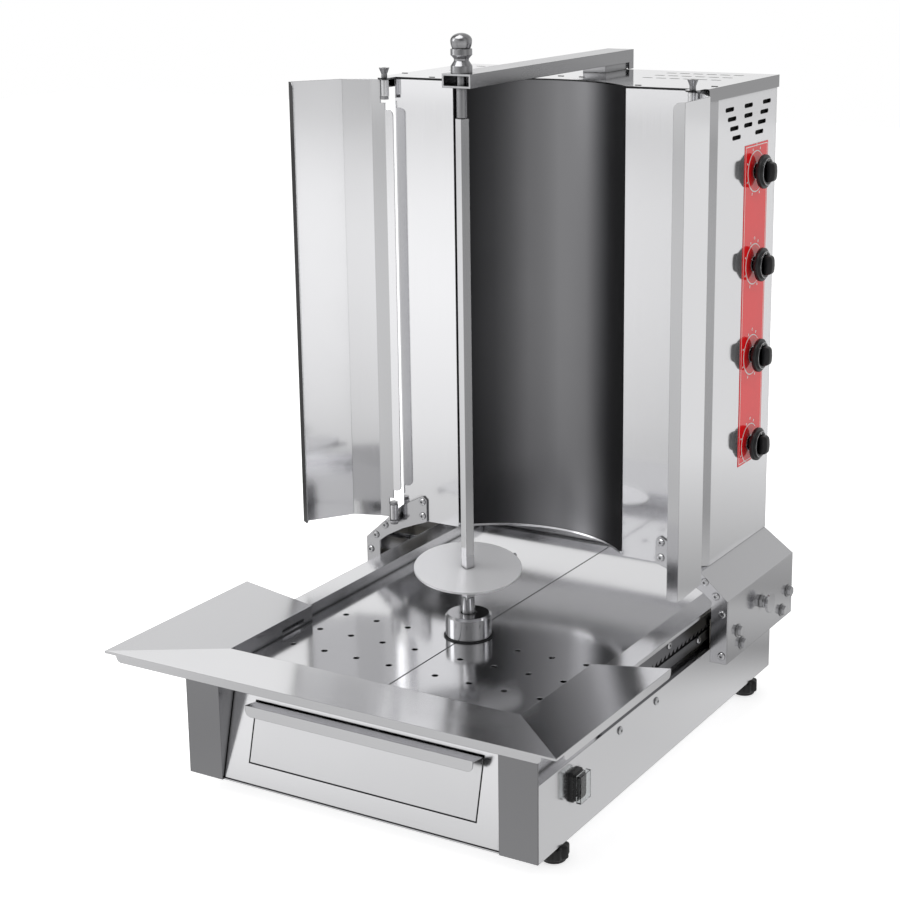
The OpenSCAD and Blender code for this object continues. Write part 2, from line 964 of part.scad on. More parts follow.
// Rocker switch on the right side of the base
body_deep = 34;
rocker_axle = 2;
axle_fit = 0.08;
rocker_up = 4;
rocker_x = base_x + rocker_up;
module switch_bezel() {
    color("black") {
        difference() {
            block([base_x, switch_y - switch_w / 2, switch_z - switch_h / 2],
                [base_x + switch_t, switch_y + switch_w / 2, switch_z + switch_h / 2]);
            block([base_x - over, switch_y - switch_cut_w / 2, switch_z - switch_cut_h / 2],
                [base_x + switch_t + over, switch_y + switch_cut_w / 2, switch_z + switch_cut_h / 2]);
        }
        difference() {
            block([base_x - body_deep, switch_y - switch_cut_w / 2, switch_z - switch_cut_h / 2],
                [base_x + switch_t, switch_y + switch_cut_w / 2, switch_z + switch_cut_h / 2]);
            block([base_x - body_deep / 2, switch_y - switch_cut_w / 2 + over,
                switch_z - switch_cut_h / 2 + over],
                [base_x + switch_t + over, switch_y + switch_cut_w / 2 - over,
                switch_z + switch_cut_h / 2 - over]);
        }
        translate([rocker_x, switch_y, switch_z - switch_cut_h / 2 + over / 2])
            cylinder(r = rocker_axle, h = switch_cut_h - over, $fn = smooth);
    }
}

rocker_cut = 3;
rocker_in = 6;
rocker_out = 8;
rocker_dip = 2;
rocker_line = [
    [-rocker_w / 2, 0], [-rocker_w / 2 + rocker_cut, -rocker_in],
    [rocker_w / 2 - rocker_cut, -rocker_in], [rocker_w / 2, 0], [rocker_w / 2 - over, rocker_out],
    [0, rocker_out - rocker_dip], [-rocker_w / 2 + over, rocker_out]
];
module rocker() {
    color("black")
        translate([rocker_x, switch_y, switch_z - rocker_h / 2])
            rotate([0, 0, rocker_tilt - 90])
                difference() {
                    linear_extrude(rocker_h)
                        polygon(rocker_line);
                    translate([0, 0, -over])
                        cylinder(r = rocker_axle + axle_fit, h = rocker_h + over + over, $fn = smooth);
                }
}

cap_t = 1.2;
cap_x = 6;
module switch_cover() {
    color("lightgray")
        difference() {
            block([base_x + switch_t, switch_y - switch_cut_w / 2 - edge, switch_z - switch_cut_h / 2 - edge],
                [base_x + switch_t + cap_x, switch_y + switch_cut_w / 2 + edge,
                switch_z + switch_cut_h / 2 + edge]);
            block([base_x + switch_t - over, switch_y - switch_cut_w / 2 - edge + cap_t,
                switch_z - switch_cut_h / 2 - edge + cap_t],
                [base_x + switch_t + cap_x - cap_t, switch_y + switch_cut_w / 2 + edge - cap_t,
                switch_z + switch_cut_h / 2 + edge - cap_t]);
        }
}

// Column sides, each one folded sheet: return, front, cut corner and side
front_return = 14;
col_fold = [
    [glass_x, front_y + front_return], [glass_x, front_y], [front_x, front_y], [col_x, cut_y],
    [col_x, back_y - sheet]
];
vent_w = 27;
vent_h = 5.4;
vent_drop = 31.5;
vent_row_step = 12.5;
vent_mid = 130.5;
vent_reach = 60.6;
vent_reach_step = 7.8;
vent_last = 3;
hole_gap = 1;
lid_gap = 0.8;
module column_side() {
    difference() {
        run_z(ribbon(col_fold, sheet), side_z, plate_under - lid_gap);
        block([0, front_y - over, side_z - over], [front_x, cut_y, col_z]);
        for (k = [0 : vent_last])
            for (side = [-1, 0, 1])
                if (k < vent_last || side != 0)
                    slot_side([col_x - sheet - over,
                        front_y + vent_mid + side * (vent_reach - k * vent_reach_step),
                        col_top - vent_drop - k * vent_row_step], vent_w, vent_h, sheet + over + over);
    }
}

module column_left() {
    color("silver")
        mirror([1, 0, 0])
            column_side();
}

module column_right() {
    color("silver")
        difference() {
            column_side();
            for (k = [0 : knob_last])
                bar_x([col_x - sheet - over, knob_y, knob_z + k * knob_step], shaft_r + hole_gap,
                    sheet + over + over);
        }
}

module column_back() {
    color("silver")
        block([-col_x, back_y - sheet, side_z], [col_x, back_y, plate_under]);
}

rim_w = 8;
module column_floor() {
    color("silver") {
        difference() {
            block([-col_x + sheet, cut_y, col_z], [col_x - sheet, back_y - sheet, col_z + sheet]);
            translate([0, glass_cy, col_z - over])
                cylinder(r = glass_r + rim_w - over, h = sheet + over + over, $fn = smooth);
        }
        glass_arc(glass_r, glass_r + rim_w, col_z, col_z + edge, glass_half);
    }
}

// Part of a ring round the glass axis
module glass_arc(r_in, r_out, from_z, to_z, half) {
    translate([0, glass_cy, from_z])
        rotate([0, 0, 90 - half])
            rotate_extrude(angle = half + half, $fn = smooth)
                translate([r_in, 0])
                    square([r_out - r_in, to_z - from_z]);
}

glass_t = 4;
glass_half = asin((glass_x - edge) / (glass_r + glass_t + glass_inset));
half_trim = 3;
module glass_panel() {
    color("black")
        glass_arc(glass_r + glass_inset, glass_r + glass_inset + glass_t, col_z + edge, plate_under,
            glass_half);
}

heat_gap = 14;
heat_r = glass_r + heat_gap;
heat_t = 6;
heat_space = 5;
heat_h = knob_step - heat_space;
reflect_r = heat_r + heat_t + edge;
holder_w = 14;
holder_trim = 12;
module heating_elements() {
    color("darkorange")
        for (k = [0 : knob_last]) {
            glass_arc(heat_r, heat_r + heat_t, knob_z + k * knob_step - heat_h / 2,
                knob_z + k * knob_step + heat_h / 2, glass_half - half_trim);
            for (sx = [-1, 1])
                translate([0, 0, knob_z + k * knob_step])
                    turn_about_glass(sx * (glass_half - holder_trim))
                        block([-holder_w / 2, heat_r + heat_t - over, -holder_w / 2],
                            [holder_w / 2, reflect_r - seat, holder_w / 2]);
        }
}

stay_w = 20;
stay_low = 80;
stay_drop = 100;
module heat_reflector() {
    color("silver") {
        glass_arc(reflect_r, reflect_r + sheet, col_z + sheet, plate_under, glass_half - half_trim);
        for (z = [col_z + stay_low, plate_under - stay_drop])
            block([-stay_w, glass_cy + reflect_r + over, z], [stay_w, back_y - sheet, z + sheet]);
    }
}

module turn_about_glass(turn) {
    translate([0, glass_cy, 0])
        rotate([0, 0, turn])
            children();
}

// Top cover with vents, hinge tabs and the scooped front edge
top_vent_l = 14.5;
top_vent_w = 5;
top_vent_x = 100;
top_vent_step = 19.4;
top_vent_back = 118.5;
top_vent_row_step = 37;
tab_r = 9;
module top_cover() {
    color("silver")
        difference() {
            union() {
                block([-col_x - sheet, front_y, plate_under], [col_x + sheet, back_y + sheet, col_top]);
                both()
                    block([col_x, front_y + sheet, flange_z], [col_x + sheet, back_y, plate_under]);
                block([-col_x - sheet, back_y, flange_z], [col_x + sheet, back_y + sheet, plate_under]);
                both() {
                    translate([hinge_x, hinge_y, plate_under])
                        cylinder(r = tab_r, h = sheet, $fn = smooth);
                    block([hinge_x - tab_r, hinge_y, plate_under],
                        [hinge_x + tab_r, front_y + over, col_top]);
                }
            }
            translate([0, glass_cy, flange_z - over])
                cylinder(r = glass_r, h = wide, $fn = smooth);
            both() {
                for (k = [0 : 2])
                    for (i = [0 : 5])
                        slot_flat([top_vent_x + i * top_vent_step,
                            front_y + top_vent_back + k * top_vent_row_step, plate_under - over],
                            top_vent_l, top_vent_w, sheet + over + over);
                translate([hinge_x, hinge_y, plate_under - over])
                    cylinder(r = hinge_pin_r, h = sheet + over + over, $fn = smooth);
            }
        }
}

// Red strip behind the knobs
module control_label() {
    color("red")
        difference() {
            block([col_x, knob_y - label_w / 2, label_low],
                [col_x + label_t, knob_y + label_w / 2, label_top]);
            for (k = [0 : knob_last])
                bar_x([col_x - over, knob_y, knob_z + k * knob_step], shaft_r + hole_gap, edge + over);
        }
}

ring_t = 1.2;
ring_w = 6;
module knob_bezels() {
    color("silver")
        for (k = [0 : knob_last])
            translate([col_x + label_t, knob_y, knob_z + k * knob_step])
                rotate([0, 90, 0])
                    difference() {
                        cylinder(r = knob_r + over, h = ring_t, $fn = smooth);
                        translate([0, 0, -over])
                            cylinder(r = knob_r - ring_w, h = ring_t + over + over, $fn = smooth);
                    }
}

reg_w = 40;
reg_d = 30;
module regulators() {
    color("ivory")
        difference() {
            for (k = [0 : knob_last])
                block([col_x - sheet - reg_d, knob_y - reg_w / 2, knob_z + k * knob_step - reg_w / 2],
                    [col_x - sheet, knob_y + reg_w / 2, knob_z + k * knob_step + reg_w / 2]);
            for (k = [0 : knob_last])
                bar_x([col_x - sheet - reg_d + edge, knob_y, knob_z + k * knob_step],
                    shaft_r + hinge_fit, reg_d);
        }
}

// Knobs turn about X
knob_x = col_x + knob_gap;
grip_turn = 12;
skirt_edge = 1.5;
shaft_in = knob_gap + sheet + reg_d - edge - over;
module knob(k) {
    color("black")
        translate([knob_x, knob_y, knob_z + k * knob_step])
            rotate([0, 90, 0]) {
                cylinder(r = knob_r, h = knob_skirt - skirt_edge, $fn = smooth);
                translate([0, 0, knob_skirt - skirt_edge])
                    cylinder(r1 = knob_r, r2 = knob_r - skirt_edge, h = skirt_edge, $fn = smooth);
                rotate([0, 0, grip_turn])
                    translate([-knob_grip_l / 2, -knob_grip_w / 2, knob_skirt - over])
                        cube([knob_grip_l, knob_grip_w, knob_grip_h + over]);
                translate([0, 0, -shaft_in])
                    cylinder(r = shaft_r, h = shaft_in + over, $fn = smooth);
            }
}

module knob_1() {
    knob(0);
}

module knob_2() {
    knob(1);
}

module knob_3() {
    knob(2);
}

module knob_4() {
    knob(3);
}

// Wings: plan line from the hinge outwards, for the left side at no turn
function dir(a) = [sin(a), cos(a)];
function wing_p1(t) = -wing_c * dir(wing_ang_c - t);
function wing_p2(t) = wing_p1(t) - wing_b * dir(wing_ang_b - t);
function wing_p3(t) = wing_p2(t) - wing_a * dir(wing_ang_a - t);
function wing_p4(t) = wing_p3(t) + wing_flange * [cos(wing_ang_a - t), -sin(wing_ang_a - t)];
function wing_p0(t) = wing_d * dir(wing_ang_d - t);
module wing(t) {
    difference() {
        union() {
            run_z(ribbon([wing_p4(t), wing_p3(t), wing_p2(t), wing_p1(t), [0, 0]], wing_t),
                wing_low, wing_top);
            run_z(ribbon([wing_p1(t), [0, 0], wing_p0(t)], wing_t), wing_low + wing_d_gap,
                wing_top - wing_d_gap);
            translate([0, 0, wing_low - edge])
                cylinder(r = hinge_r, h = sleeve_h, $fn = smooth);
            translate([0, 0, wing_top - sleeve_h])
                cylinder(r = hinge_r, h = sleeve_h, $fn = smooth);
        }
        translate([0, 0, wing_low - edge - over])
            cylinder(r = hinge_pin_r + hinge_fit, h = sleeve_h + edge + edge, $fn = smooth);
        translate([0, 0, wing_top - sleeve_h - edge])
            cylinder(r = hinge_pin_r + hinge_fit, h = sleeve_h + edge + over, $fn = smooth);
        translate([0, 0, wing_low - edge + sleeve_h])
            cylinder(r = hinge_r + over, h = pin_room, $fn = smooth);
        translate([0, 0, wing_top - sleeve_h - pin_room])
            cylinder(r = hinge_r + over, h = pin_room, $fn = smooth);
        rotate([0, 0, t - wing_ang_d]) {
            corner_waste_x([-edge, wing_d, wing_low + wing_d_gap], wing_corner_r, edge + edge, 1, -1);
            corner_waste_x([-edge, wing_d, wing_top - wing_d_gap], wing_corner_r, edge + edge, 1, 1);
        }
        translate(wing_p3(t))
            rotate([0, 0, t - wing_ang_a - 90]) {
                corner_waste_x([-edge, wing_flange, wing_top], wing_edge_r, edge + edge, 1, 1);
                corner_waste_x([-edge, wing_flange, wing_low], wing_edge_low_r, edge + edge, 1, -1);
            }
    }
}

module wing_left() {
    color("silver")
        translate([-hinge_x, hinge_y, 0])
            wing(wing_turn_left);
}

module wing_right() {
    color("silver")
        mirror([1, 0, 0])
            translate([-hinge_x, hinge_y, 0])
                wing(wing_turn_right);
}

// Hinge pins with heads and nuts, held by the tabs
pin_head_r = 6;
pin_head_h = 8;
pin_head_top_r = 7.2;
pin_nut_h = 4;
pin_washer_h = 5;
low_tab_z = wing_low - edge - seat;
module hinge_pins() {
    color("silver")
        both()
            translate([hinge_x, hinge_y, 0]) {
                translate([0, 0, wing_top - sleeve_h - edge])
                    cylinder(r = hinge_pin_r, h = col_top + pin_washer_h - wing_top + sleeve_h + edge,
                        $fn = smooth);
                translate([0, 0, wing_top - sleeve_h - seat - pin_nut_h])
                    cylinder(r = pin_head_r, h = pin_nut_h, $fn = 6);
                translate([0, 0, col_top])
                    cylinder(r = hinge_pin_r + over, h = pin_washer_h + over, $fn = smooth);
                difference() {
                    translate([0, 0, col_top + pin_washer_h])
                        cylinder(r1 = hinge_pin_r + over, r2 = pin_head_top_r, h = pin_head_h,
                            $fn = smooth);
                    translate([0, 0, col_top + pin_washer_h + pin_head_h - edge])
                        cylinder(r = hinge_pin_r, h = edge + over, $fn = 6);
                }
                translate([0, 0, low_tab_z - sheet - pin_nut_h])
                    cylinder(r = pin_head_r, h = pin_nut_h, $fn = 6);
                translate([0, 0, low_tab_z - sheet])
                    cylinder(r = hinge_pin_r, h = sleeve_h + sheet + seat + seat, $fn = smooth);
                translate([0, 0, low_tab_z + sleeve_h + seat + seat])
                    cylinder(r = pin_head_r, h = pin_nut_h, $fn = 6);
            }
}

// Lower hinge tabs on the carriage plates
module hinge_tab() {
    difference() {
        union() {
            translate([hinge_x, hinge_y, low_tab_z - sheet])
                cylinder(r = tab_r, h = sheet, $fn = smooth);
            block([hinge_x - tab_r, hinge_y, low_tab_z - sheet],
                [hinge_x + tab_r, arch_y + over, low_tab_z]);
        }
        translate([hinge_x, hinge_y, low_tab_z - sheet - over])
            cylinder(r = hinge_pin_r, h = sheet + over + over, $fn = smooth);
    }
}

// Carriage: arched front plates, rear plates, folded covers and sliders
arch_nose = 6;
arch_bevel = 5;
brow_out = 1;
brow_drop = 18;
knee_out = 1;
knee_drop = 3;
shin_in = 12;
shin_up = 7;
thigh_out = 2;
thigh_up = 21;
hip_in = 18;
hip_up = 29;
rear_drop = 4;
rear_knee = 6;
rear_deep = 20;
arch_line = [
    [arch_in, col_z], [arch_in, arch_top - arch_bevel], [arch_in + arch_nose, arch_top],
    [front_x + brow_out, arch_top - brow_drop], [car_x, fold_z], [car_x, leg_z], [leg_x, leg_z],
    [leg_x + knee_out, fold_z - knee_drop], [leg_x - shin_in, fold_z + shin_up],
    [front_x + thigh_out, fold_z + thigh_up], [front_x - hip_in, fold_z + hip_up]
];
rear_line = [
    [col_x, side_z - rear_drop], [car_x - sheet, fold_z - sheet], [car_x - sheet, leg_z],
    [leg_x, leg_z], [leg_x, fold_z - rear_knee], [col_x, side_z - rear_deep]
];
module carriage_plates() {
    color("silver")
        both() {
            run_y(arch_line, arch_y, front_y);
            run_y(rear_line, rear_y, rear_y + arch_t);
            hinge_tab();
        }
}

cover_line = [[col_x, side_z], [car_x, fold_z], [car_x, leg_z]];
module carriage_cover() {
    difference() {
        run_y(ribbon(cover_line, -sheet), front_y, back_y - sheet);
        bar_x([car_x - edge, lock_y, lock_z], lock_r + seat, edge + over);
    }
}

module carriage_cover_left() {
    color("silver")
        mirror([1, 0, 0])
            carriage_cover();
}

module carriage_cover_right() {
    color("silver")
        carriage_cover();
}

slide_gap = 0.4;
slider_x = rack_x + rack_t + head_h + slide_gap;
slider_l = 34;
slider_h = 34;
slider_in = 33.5;
slider_gap = 5;
sliders_y = [front_y + slider_in, rear_y - slider_l - slider_gap];
module carriage_sliders() {
    color("ivory")
        both()
            for (y = sliders_y)
                block([slider_x, y, side_h + seat], [car_x - sheet, y + slider_l, side_h + slider_h]);
}

hex_r = 7;
hex_h = 6.5;
washer_h = 1.5;
bolt_up = 36;
bolt_low = 14;
bolt_first_in = 33.5;
bolt_second_in = 47;
bolt_third_back = 38.5;
bolt_last_back = 18;
bolt_places = [
    [front_y + bolt_first_in, leg_z + bolt_up], [front_y + bolt_second_in, leg_z + bolt_low],
    [back_y - bolt_third_back, leg_z + bolt_low], [back_y - bolt_last_back, leg_z + bolt_up]
];
module cover_bolts() {
    color("silver")
        both() {
            for (p = bolt_places) {
                bar_x([car_x, p[0], p[1]], hex_r, hex_h, 6);
                bar_x([car_x, p[0], p[1]], hex_r + washer_h, washer_h);
            }
            difference() {
                bar_x([car_x, lock_y, lock_z], lock_nut_r, lock_nut_h, 6);
                bar_x([car_x - over, lock_y, lock_z], lock_r + hinge_fit, lock_nut_h + over + over);
            }
        }
}

arch_screw_in = 7;
arch_screw_drop = 8;
arch_screw_low = 29;
thigh_screw_in = 9;
thigh_screw_up = 22;
knee_screw_out = 7;
knee_screw_up = 5;
shin_screw_in = 7;
foot_screw_up = 11;
shin_screw_drop = 18;
plate_screw_places = [
    [arch_in + arch_screw_in, arch_top - arch_screw_drop],
    [arch_in + arch_screw_in, arch_top - arch_screw_low],
    [leg_x - thigh_screw_in, fold_z + thigh_screw_up],
    [leg_x + knee_screw_out, fold_z + knee_screw_up],
    [car_x - shin_screw_in, fold_z - shin_screw_drop],
    [car_x - shin_screw_in, leg_z + foot_screw_up]
];
module plate_screws() {
    color("silver")
        both()
            for (p = plate_screw_places)
                pan_front([p[0], arch_y, p[1]]);
}

// Clamp knob on each carriage cover
lock_in = 110.5;
lock_up = 52;
lock_y = front_y + lock_in;
lock_z = leg_z + lock_up;
lock_gap = 0.6;
lock_r = 4;
lock_nut_r = 9;
lock_nut_h = 5;
lock_face_r = 13.5;
lock_len = 15;
lock_waist_r = 8;
module lock_screw() {
    bar_x([rack_x + rack_t + lock_gap, lock_y, lock_z], lock_r,
        car_x + lock_len - rack_x - rack_t - lock_gap);
    translate([car_x + lock_nut_h + seat, lock_y, lock_z])
        rotate([0, 90, 0])
            cylinder(r = lock_waist_r, h = lock_len - lock_nut_h - edge, $fn = smooth);
    translate([car_x + lock_nut_h + edge, lock_y, lock_z])
        rotate([0, 90, 0])
            cylinder(r1 = lock_waist_r, r2 = lock_face_r, h = lock_len - lock_nut_h - edge - edge,
                $fn = smooth);
    translate([car_x + lock_len - edge, lock_y, lock_z])
        rotate([0, 90, 0])
            cylinder(r = lock_face_r, h = edge, $fn = smooth);
}

module lock_knob_right() {
    color("silver")
        lock_screw();
}

module lock_knob_left() {
    color("silver")
        mirror([1, 0, 0])
            lock_screw();
}

// Top arm with a foot at its rear end, its saddle and the pull pin
module top_arm() {
    color("silver")
        difference() {
            block([-arm_x, arm_front, arm_low], [arm_x, arm_back, arm_top]);
            block([-arm_x + arm_t, arm_front + arm_box, arm_low - over],
                [arm_x - arm_t, arm_back + over, arm_top - arm_t]);
            block([-arm_x + arm_t, arm_front - over, arm_low + arm_t],
                [arm_x - arm_t, arm_front + arm_box + over, arm_top - arm_t]);
            translate([0, spin_y, arm_low - over])
                cylinder(r = pin_d / 2 + hinge_fit, h = arm_h + over + over, $fn = smooth);
        }
    color("silver") {
        block([-arm_x, arm_back - arm_t, col_top + saddle_gap], [arm_x, arm_back, arm_top]);
        both()
            block([arm_x - arm_t, arm_back - arm_foot_l, col_top + saddle_gap],
                [arm_x, arm_back, arm_low + over]);
    }
}

saddle_x = arm_x - arm_t - saddle_gap;
saddle_y = arm_back - arm_foot_l - arm_t - saddle_l;
module arm_saddle() {
    color("silver")
        block([-saddle_x, saddle_y, col_top],
            [saddle_x, saddle_y + saddle_l, arm_top - arm_t - saddle_gap]);
}

pin_r = pin_d / 2;
tip_edge = 0.8;
finial_r = 13.2;
finial_h = 29.5;
finial_base = arm_top + seat;
finial_shares = [[1, 0], [1, 0.29], [0.68, 0.51], [0.7, 0.58], [1, 0.73], [1, 0.97], [0.845, 1]];
pin_line = [
    [0, shoulder_z - tip_len], [tip_r - tip_edge, shoulder_z - tip_len],
    [tip_r, shoulder_z - tip_len + tip_edge], [tip_r, shoulder_z], [pin_r, shoulder_z],
    [pin_r, finial_base]
];
ball_up = 38.5;
ball_z = finial_base + ball_up;
ball_under = 17.4;
ball_over = 9;
module pull_pin() {
    color("silver")
        translate([0, spin_y, 0])
            rotate_extrude($fn = smooth)
                polygon(concat(pin_line,
                    [for (p = finial_shares) [finial_r * p[0], finial_base + finial_h * p[1]]],
                    [for (a = [-30 : 7.5 : 0]) [finial_r * cos(a), ball_z + ball_under * sin(a)]],
                    [for (a = [10 : 10 : 80]) [finial_r * cos(a), ball_z + ball_over * sin(a)]],
                    [[0, ball_z + ball_over]]));
}

// Draw the chosen pieces
base_pan();
access_plate();
base_side_left();
base_side_right();
front_posts();
plinth();
plate_bars();
racks();
base_screws();
feet();
foot_studs();
apron();
drip_plate_left();
drip_plate_right();
motor_bracket();
gear_motor();
hub_housing();
hub_seal();
cable_gland();
drawer_runners();
switch_bezel();
switch_cover();
rocker();
drive_coupling();
skewer();
meat_disc();
disc_collar();
disc_screw();
drawer_box();
drawer_front();
drawer_handle();
column_left();
column_right();
column_back();
column_floor();
glass_panel();
heating_elements();
heat_reflector();
top_cover();
control_label();
knob_bezels();
regulators();
hinge_pins();
carriage_plates();
carriage_cover_left();
carriage_cover_right();
carriage_sliders();
cover_bolts();
plate_screws();
lock_knob_left();
lock_knob_right();
top_arm();
arm_saddle();
pull_pin();
knob_1();
knob_2();
knob_3();
knob_4();
wing_left();
wing_right();
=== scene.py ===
# %% [markdown]
# # Vertical kebab grill
# The imported model gives every sheet, pin and knob its real size and place, in metres.
# This file is about looks: what each surface is made of, how light meets it, and the
# small pieces that a press or a lathe leaves on a real machine. The model's box is kept
# straight after loading.

# %% Load the frame
import math

import bmesh
import bpy
from mathutils import Matrix, Vector


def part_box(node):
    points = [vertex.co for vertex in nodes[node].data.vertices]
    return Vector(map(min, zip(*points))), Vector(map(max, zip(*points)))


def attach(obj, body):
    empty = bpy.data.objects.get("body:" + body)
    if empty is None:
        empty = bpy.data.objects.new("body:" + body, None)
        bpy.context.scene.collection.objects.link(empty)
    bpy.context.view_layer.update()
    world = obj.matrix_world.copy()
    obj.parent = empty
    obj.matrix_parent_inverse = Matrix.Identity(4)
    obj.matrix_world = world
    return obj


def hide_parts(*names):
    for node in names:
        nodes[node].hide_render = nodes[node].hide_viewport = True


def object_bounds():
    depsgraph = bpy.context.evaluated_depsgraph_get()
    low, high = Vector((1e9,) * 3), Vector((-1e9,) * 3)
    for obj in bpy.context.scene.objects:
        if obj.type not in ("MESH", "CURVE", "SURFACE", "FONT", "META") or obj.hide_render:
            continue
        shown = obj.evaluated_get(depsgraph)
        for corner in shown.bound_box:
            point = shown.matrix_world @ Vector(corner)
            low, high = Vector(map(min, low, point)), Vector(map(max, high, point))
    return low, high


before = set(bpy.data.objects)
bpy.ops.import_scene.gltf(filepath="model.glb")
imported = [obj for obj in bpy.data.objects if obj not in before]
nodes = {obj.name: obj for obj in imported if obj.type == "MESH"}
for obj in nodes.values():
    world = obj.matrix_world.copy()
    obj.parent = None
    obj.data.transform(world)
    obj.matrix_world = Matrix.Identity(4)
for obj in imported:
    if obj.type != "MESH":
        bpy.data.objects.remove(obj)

cad_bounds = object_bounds()
mm = 0.001
print("box:", [[round(v, 4) for v in corner] for corner in cad_bounds])

# %% [markdown]
# ## The camera
# The viewing angle was worked out from the machine's own straight edges. The camera
# looks back along a line turned 31 degrees and tipped 14 degrees down, with a trace of
# roll. A longer lens keeps the column's edges nearly parallel, and a small shift places
# the machine in the square as it stands in the photograph.

# %% Place the camera
camera_place = Vector((1.20718, -2.07004, 1.05394))
camera_yaw = math.radians(31.15)
camera_pitch = math.radians(14.44)
camera_roll = math.radians(0.74)
focal_pixels = 1923.54
frame_pixels = 900
sensor_width = 36
centre_pixels = (465, 400)

ahead = Vector((
    -math.sin(camera_yaw) * math.cos(camera_pitch),
    math.cos(camera_yaw) * math.cos(camera_pitch),
    -math.sin(camera_pitch),
))
level_right = Vector((math.cos(camera_yaw), math.sin(camera_yaw), 0))
level_down = ahead.cross(level_right)
right = math.cos(camera_roll) * level_right + math.sin(camera_roll) * level_down
down = -math.sin(camera_roll) * level_right + math.cos(camera_roll) * level_down

lens = bpy.data.cameras.new("camera")
lens.sensor_width = sensor_width
lens.lens = focal_pixels / frame_pixels * sensor_width
lens.shift_x = (frame_pixels / 2 - centre_pixels[0]) / frame_pixels
lens.shift_y = (centre_pixels[1] - frame_pixels / 2) / frame_pixels
camera = bpy.data.objects.new("camera", lens)
turn = Matrix((right, -down, -ahead)).transposed().to_4x4()
camera.matrix_world = Matrix.Translation(camera_place) @ turn
bpy.context.scene.collection.objects.link(camera)
bpy.context.scene.camera = camera
bpy.context.scene.view_settings.view_transform = "Standard"
print("lens:", round(lens.lens, 2), "mm, shift:", round(lens.shift_x, 4), round(lens.shift_y, 4))

# %% [markdown]
# ## Colours and nodes
# Colours are written as the hex values that a paint card or a picture shows. A shader
# works in linear light, so one function turns hex to linear. One more adds a shader
# node with its settings and its links, which keeps every material short enough to read.
# A ramp's stops are settings too, and each is a place with a grey level or a colour.

# %% Helpers for materials
def linear(hex_colour):
    """Turn an sRGB hex colour into the linear colour that shaders use."""
    parts = [int(hex_colour[i:i + 2], 16) / 255 for i in (1, 3, 5)]
    light = [p / 12.92 if p <= 0.04045 else ((p + 0.055) / 1.055) ** 2.4 for p in parts]
    return (*light, 1)


def add_node(tree, kind, settings=None, links=None, stops=()):
    """Add a shader node, set its options, inputs and ramp stops, and link its sources."""
    node = tree.nodes.new(kind)
    for name, value in (settings or {}).items():
        if isinstance(name, str) and hasattr(node, name):
            setattr(node, name, value)
        else:
            node.inputs[name].default_value = value
    for name, source in (links or {}).items():
        tree.links.new(source, node.inputs[name])
    while stops and len(node.color_ramp.elements) < len(stops):
        node.color_ramp.elements.new(0.5)
    for k, (at, shade) in enumerate(stops):
        element = node.color_ramp.elements[k]
        element.position = at
        element.color = shade if isinstance(shade, tuple) else (shade, shade, shade, 1)
    return node


def new_material(name):
    """Start a node material and return it with its tree, shader and place on the piece."""
    material = bpy.data.materials.new(name)
    material.use_nodes = True
    tree = material.node_tree
    tree.nodes.clear()
    shader = add_node(tree, "ShaderNodeBsdfPrincipled")
    add_node(tree, "ShaderNodeOutputMaterial", links={"Surface": shader.outputs["BSDF"]})
    place = add_node(tree, "ShaderNodeTexCoord").outputs["Object"]
    return material, tree, shader, place


print("red of the control strip, linear:", [round(v, 3) for v in linear("#D3202A")])

# %% [markdown]
# ## Stainless steel
# Most of the machine is grade 304 stainless sheet. The mill rolls it bright, and a belt
# then leaves fine parallel scratches in the long direction of each panel. To the eye the
# metal is a soft mirror: near things show in it, far things melt into pale gradients,
# and the scratches draw reflections out across themselves. Real scratches are a few
# hundredths of a millimetre wide, which no render at this size can show, so they are
# drawn coarser. Slow clouds in the roughness are the marks of rolling and handling.
# Edges and folds get painted shade: the tone drops where the rounded normal turns away
# from the flat one. Seams get painted shade as well, where nearby parts close in. Each
# sheet also gets painted light and shade by the way it faces, and a list of tones over its
# normal sets that for each fold. Faces that look to the front, such as cut edges and slot
# walls, can be darkened as one, which is painted shade too.

# %% Stainless sheet
grain_mm = 0.7
grain_run_mm = 90
grain_depth_mm = 0.1
grain_tones = (0.98, 1.0)
cloud_mm = 110
cloud_low, cloud_high = 0.35, 0.65
cloud = 0.03
noise_low, noise_high = 0.3, 0.7
edge_round = 0.9 * mm
edge_bend = (0.86, 0.99)
edge_share = 0.35
nook_reach = 8 * mm
nook_open = (0.35, 0.85)
nook_share = 0.2
front_turn = (-0.6, -0.4)
rays = 6


